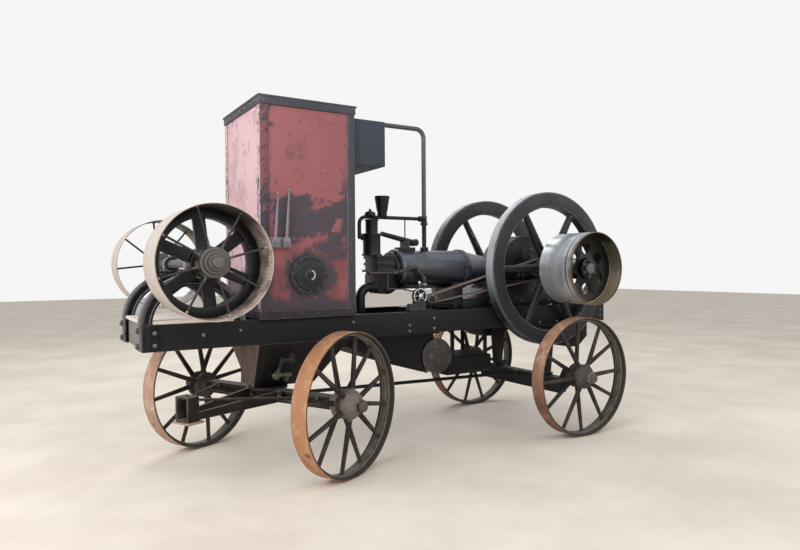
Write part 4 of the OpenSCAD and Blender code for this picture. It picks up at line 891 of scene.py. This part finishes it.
# Round cover: a nut on each lobe
lobes = around((COVER[0], 455.2, COVER[1]), X, Z, Y, 128, range(0, 360, 30), 0.62)
strew("cover_nuts", nut, lobes, "root", cast_black)

# Lever bracket: four screws, and a pivot nut for each lever
bracket = [(spot(52 + sx * 64, 432.2, 1678 + sz * 28), Y, 0.5) for sx in (-1, 1) for sz in (-1, 1)]
strew("lever_bracket_screws", hex_head, bracket, "root", lever_steel)
strew("lever_pivots", nut, [(spot(x, 463.2, 1678), Y, 0.75) for x in (10, 94)], "root", lever_steel)

# Header tank: rivets along the bottom and top seams of both ends and of its back
seam = []
for i in range(5):
    for z in TANK_SEAMS:
        seam += twins(-822 + 61 * i, 400, z, 0.7)
for i in range(10):
    seam += [(spot(-841, -378 + 84 * i, z), -X, 0.7) for z in TANK_SEAMS]
strew("header_tank_rivets", rivet, seam, "root", tank_paint)

# Hot-water pipe: nuts on its foot flange, and an octagon union at each joint of it and its branch
studs = around((PIPE_X, 0, 1665), X, Y, Z, 28.5, CORNERS, 0.42)
strew("pipe_foot_nuts", nut, studs, "root", cast_black)
union = turned([(27, 0), (33, 4), (33, 24), (27, 28)], 8)
smooth(union, 28)
strew("pipe_unions", union, [(spot(PIPE_X, 0, 1868), Z, 1), (spot(-740, 0, 2645.6), Z, 0.95),
                             (spot(-1432, 0, 1925), X, 0.82), (spot(-852, 0, 1750), X, 0.78)],
      "root", cast_black)

# Jacket: nuts round its front flange, a smaller ring on the back flange
ring = around((-1139.8, 0, CRANK[1]), Z, Y, X, 165, range(18, 360, 36), 0.55)
behind = [a for a in range(15, 360, 30) if a not in (165, 195)]
ring += around((-1860, 0, CRANK[1]), Z, Y, -X, 172, behind, 0.5)
strew("jacket_nuts", nut, ring, "root", cast_black)

# Head and pot: nuts on the pot's flanges, on the head's ledge and on the exhaust flange
studs = around((POT_X, 0, 1783), X, Y, Z, 84, range(30, 360, 60), 0.34)
studs += around((POT_X, 0, 1607), X, Y, Z, 84.5, range(0, 360, 60), 0.34)
studs += [(spot(x, s * 118, 1597.4), Z, 0.3) for x in (-1080, -1010, -940) for s in (-1, 1)]
studs += around((-894, 40, 1330), Y, Z, X, 45.5, CORNERS, 0.28)
strew("head_nuts", nut, studs, "root", bolt_steel)

# Rocker: a nut on each end of its pivot pin
strew("rocker_nuts", nut, twins(-1350, 44, 1712, 1.1), "root", cast_black)

# Bearings: foot nuts on the main ones, and an oil cup on each main and front one
feet = []
for s in (-1, 1):
    for x in (CRANK[0] - 125, CRANK[0] + 125):
        feet += [(spot(x, s * (BEARING_Y + d), 1408), Z, 0.8) for d in (-32, 32)]
strew("main_bearing_nuts", nut, feet, "root", bolt_steel)
oil_cup = turned([(13, -2), (13, 8), (10, 10), (10, 16), (24, 22), (27, 50), (24, 54), (10, 58), (6, 66)], 20)
cups = [(spot(CRANK[0], s * BEARING_Y, 1605), Z, 1) for s in (-1, 1)]
cups += [(spot(FRONT_SHAFT[0], s * CHEEK_Y, 1588), Z, 0.62) for s in (-1, 1)]
strew("oil_cups", oil_cup, cups, "root", brass)

# Front bearings: foot nuts
feet = [(spot(FRONT_SHAFT[0] + dx, s * CHEEK_Y, 1481), Z, 0.75) for dx in (-76, 76) for s in (-1, 1)]
strew("front_bearing_nuts", nut, feet, "root", bolt_steel)

# Nose and rails: hexagon heads on the nose plates, cleats behind the nose, bolts along the rails
nuts = [(spot(996, s * CHEEK_Y, z), X, 1.25) for s in (-1, 1) for z in (990, 1094)]
strew("nose_nuts", hex_head, nuts, "root", bolt_steel)
cleats = [slab((879, s * (RAIL_SIDE - 1), 952), (949, s * 393, 1128), soft=1.5) for s in (-1, 1)]
assembled(cleats, "nose_cleats", "root", frame_black)
heads = twins(903, 393, 994, 0.7) + twins(903, 393, 1075, 0.7)
for x, z, size in ((-555, 1075, 0.576), (-1308, 1069, 0.576), (-1308, 986, 0.576), (-1067, 1022, 0.504),
                   (-1066, 975, 0.504), (587, 1045, 0.648), (-2490, 975, 0.576), (-2710, 975, 0.576),
                   (-2020, 1062, 0.504), (-3300, 1062, 0.504), (-3300, 1002, 0.504), (330, 1062, 0.504)):
    heads += twins(x, RAIL_SIDE, z, size)
strew("rail_bolts", hex_head, heads, "root", hub_steel)

# Boards: two nails at each end of each board
nails = [(spot(x, y, 1152.2), Z, 0.45) for x in (330, 950) for y in (-290, -130, -80, 80, 130, 290)]
strew("board_nails", rivet, nails, "root", rust_scale)

# Bed: foot bolts along both sides
feet = [twin for x in (-1990, -2350, -2700, -2960) for twin in twins(x, 286, 1175, 0.9)]
strew("bed_bolts", hex_head, feet, "root", bolt_steel)

# Crank guard: screws round both of its flat sides
screws = []
for i in range(9):
    angle = -100 + 25 * i
    screws += [(shaft_spot(CRANK, angle, 298, s * 148), s * Y, 0.8) for s in (-1, 1)]
strew("guard_screws", rivet, screws, "root", cast_black)

# Pump: the bright ring with its five spokes and hub cap, and a knob on top
hub = spot(PUMP[0], 340, PUMP[1])
ways = [shaft_way(18 + 72 * i) for i in range(5)]
spokes = [bar(hub + way * 0.018, hub + way * 0.057, 4.2, 8) for way in ways]
bpy.ops.object.select_all(action="DESELECT")
bpy.ops.mesh.primitive_torus_add(major_segments=40, minor_segments=10, major_radius=0.0605,
                                 minor_radius=0.0062)
bezel = put(bpy.context.object, spot(PUMP[0], 348, PUMP[1]), Y)
knob = put(turned([(6, 0), (6, 14), (11, 19), (14, 28), (11, 37), (5, 41)], 18), spot(PUMP[0], 335, 1338))
hub_cap = put(turned([(22, 0), (22, 6), (15, 10), (9, 18), (4, 20)], 20), spot(PUMP[0], 357, PUMP[1]), Y)
assembled([*spokes, bezel, knob, hub_cap], "pump_ring", "root", ring_steel)

# Fuel fittings: union nuts on the pipe, the bright drip cup over the pump and the thin drain pipe
unions = []
for x, z, way, size in ((-1086, 1454, (-185, 0, 47), 0.62), (-1034, 1449.7, (1, 0, -0.01), 0.62),
                        (-1222, 1491, (185, 0, -47), 0.6), (-1264, 1475, (-85, 0, -97), 0.6)):
    unions.append((spot(x, FUEL_Y, z), way, size))
strew("fuel_unions", union, unions, "root", brass)
drip_cup = turned([(9, -44), (13, -30), (31, -12), (33, 0), (30, 2), (12, 5)], 24)
put(drip_cup, spot(-1330, FUEL_Y, 1352))
dress(drip_cup, "drip_cup", "root", ring_steel)
drain = [bar(spot(-972, FUEL_Y, 1448), spot(-972, FUEL_Y, 1312), 6, 10),
         bar(spot(-972, FUEL_Y, 1316), spot(-1092, 240, 1312), 6, 10),
         bar(spot(-1090, 239, 1313), spot(-1152, 330, 1292), 6, 10)]
assembled(drain, "drain_pipe", "root", brass)

# Drum: filler plug on top, drain plug in the near end, hanger bolts
plug = turned([(34, -6), (34, 8), (30, 12), (18, 12), (18, 22), (15, 24)], 20)
strew("drum_plugs", plug, [(spot(-1400, 60, 883), Z, 1), (spot(-1400, 311, 700), Y, 0.6)], "root",
      drum_brown)
hang = twins(-1412, 192, 900, 0.7) + twins(-1388, 192, 900, 0.7)
strew("drum_hanger_bolts", hex_head, hang, "root", bolt_steel)

# Rear pedestals: nuts over the axle
heads = [(spot(REAR_AXLE_X + dx, s * 348, 495.6), Z, 0.8) for dx in (-48, 48) for s in (-1, 1)]
strew("pedestal_bolts", nut, heads, "root", bolt_steel)

# Fore-carriage: nuts on the drawbar's feet, and the sole plate with its pin hole under the socket
nuts = []
for s in (-1, 1):
    nuts += [(steered(62.6, s * (150 + d), 520), steered_way(1, 0, 0), 0.8) for d in (-32, 32)]
    nuts += [(steered(60.6, s * (520 + d), 548), steered_way(1, 0, 0), 0.5) for d in (-24, 24)]
strew("drawbar_nuts", nut, nuts, "fore_carriage", axle_iron)
sole = slab((690, -84, 446), (822, 84, 458.6), steered, soft=1.5)
bpy.ops.object.select_all(action="DESELECT")
bpy.ops.mesh.primitive_cylinder_add(vertices=40, radius=0.021, depth=0.06, location=steered(765, 0, 452))
drill = bpy.context.object
settle(drill)
modify(sole, "BOOLEAN", object=drill, operation="DIFFERENCE", solver="EXACT")
bpy.data.objects.remove(drill)
smooth(sole)
dress(sole, "drawbar_sole", "fore_carriage", sole_rust)

# Road wheels: collars where the spokes meet the rim, rivets, a hub nut and bolts let into the tread
hub_nut = turned([(53, -2), (53, 15), (47, 19)], 6)
smooth(hub_nut, 28)
tread_bolt = turned([(17, -1), (17, 1.5), (14, 2.4), (8.5, 1.2), (8, 3), (6, 3.6)], 24)
for wheel in WHEELS:
    first = WHEELS[wheel][4]
    collars, rim_rivets = [], []
    for i in range(12):
        a = first + 30 * i
        s = 1 if i % 2 == 0 else -1
        foot_out = 38 if s > 0 else -52
        root = wheel_spot(wheel, a, 58.8, foot_out)
        tip = wheel_spot(wheel, a, RIM_INSIDE, s * 11)
        way = (tip - root).normalized()
        collars.append((tip - way * 0.0075, -way, 0.95))
        rim_rivets += [(wheel_spot(wheel, a + 15, RIM_INSIDE, t * 32.8), wheel_way(wheel, 0, 0, t), 0.8)
                       for t in (1, -1)]
    strew(wheel + "_spoke_collars", collar, collars, wheel, wheel_paint[wheel])
    strew(wheel + "_rim_rivets", rivet, rim_rivets, wheel, wheel_paint[wheel])
    strew(wheel + "_hub_nut", hub_nut, [(wheel_spot(wheel, 0, 0, 118), wheel_way(wheel, 0, 0, 1), 1)], wheel,
          axle_iron if WHEELS[wheel][2] else hub_steel)
    # One bolt at the near front wheel's foot is much larger than the rest
    foremost = 1.2 if wheel == "front_left" else 0.6
    heads = [(wheel_spot(wheel, a, WHEEL_RADIUS - 0.6, out), wheel_way(wheel, a, 1, 0), size)
             for a, out, size in ((119, 22, foremost), (220, -44, 0.6), (340, 44, 0.6))]
    strew(wheel + "_tread_bolts", tread_bolt, heads, wheel, rust_scale)

# Front pulleys: a collar at both ends of each rod, and the rod's riveted end outside the rim
for name, y, first in (("near", 896, 16), ("far", -838, 6)):
    rods = [first + 45 * i for i in range(8)]
    collars = [(shaft_spot(FRONT_SHAFT, 90 + a, 350.5, y), -shaft_way(90 + a), 0.62) for a in rods]
    collars += [(shaft_spot(FRONT_SHAFT, 90 + a, 93.5, y), shaft_way(90 + a), 0.72) for a in rods]
    strew(name + "_pulley_collars", collar, collars, "front_shafting", front_pulley_steel)
    ends = [(shaft_spot(FRONT_SHAFT, 90 + a, 356.6, y), shaft_way(90 + a), 0.9) for a in rods]
    strew(name + "_pulley_rivets", rivet, ends, "front_shafting", front_pulley_steel)

# Belt pulley and flywheels: nuts round the hub's face, and the keys that hold the wheels on the crankshaft
nuts = [(shaft_spot(CRANK, 60 * i, 70, 939), Y, 0.7) for i in range(6)]
strew("belt_pulley_nuts", nut, nuts, "crank", bolt_steel)
keys = [slab((CRANK[0] - 11, s * 526, 1512), (CRANK[0] + 11, s * 566, 1534), soft=2) for s in (-1, 1)]
assembled(keys, "flywheel_keys", "crank", bright_steel)

for master in (rivet, nut, hex_head, collar, union, oil_cup, plug, tread_bolt, hub_nut):
    bpy.data.objects.remove(master)

# Floor, soft light and pale surroundings

bpy.ops.object.select_all(action="DESELECT")
bpy.ops.mesh.primitive_plane_add(size=60, location=(0, 0, 0))
floor = bpy.context.object
floor.name = "floor"
# Floated concrete floor: pale, matt and faintly clouded
floor_finish, tree, shader, place = start("pale_floated_concrete")
shader.inputs["Base Color"].default_value = linear("e2d9cd")
over(floor_finish, "d6ccbf", (grain(tree, place, 900, 5), 0.35, 0.65))
shader.inputs["Roughness"].default_value = 0.9
floor.data.materials.append(floor_finish)

world = bpy.data.worlds.new("pale_studio")
bpy.context.scene.world = world
world.use_nodes = True
tree = world.node_tree
surround = tree.nodes["Background"]
surround.inputs["Color"].default_value = linear("ffffff")
path = add(tree, "LightPath")
seen = add(tree, "Math", {0: path.outputs["Is Camera Ray"], 1: path.outputs["Is Glossy Ray"]},
           operation="MAXIMUM")
seen = add(tree, "Math", {0: seen.outputs[0], 1: path.outputs["Is Transmission Ray"]}, operation="MAXIMUM")
level = add(tree, "MapRange", {"Value": seen.outputs[0], "To Min": 0.64, "To Max": 0.92})
tree.links.new(level.outputs["Result"], surround.inputs["Strength"])

for label, place_at, power in (
    ("key_light", (7.5, 2.6, 5.2), 500),
    ("near_light", (1.0, 8.0, 6.0), 170),
    ("rear_light", (-6.0, 5.0, 4.5), 90),
    ("far_light", (-2.0, -6.5, 6.0), 200),
):
    lamp_data = bpy.data.lights.new(label, "AREA")
    lamp_data.size = 5.0
    lamp_data.energy = power
    lamp = bpy.data.objects.new(label, lamp_data)
    lamp.location = place_at
    lamp.rotation_euler = (Vector((0, 0, 1.0)) - Vector(place_at)).to_track_quat("-Z", "Y").to_euler()
    bpy.context.scene.collection.objects.link(lamp)

bpy.context.view_layer.update()
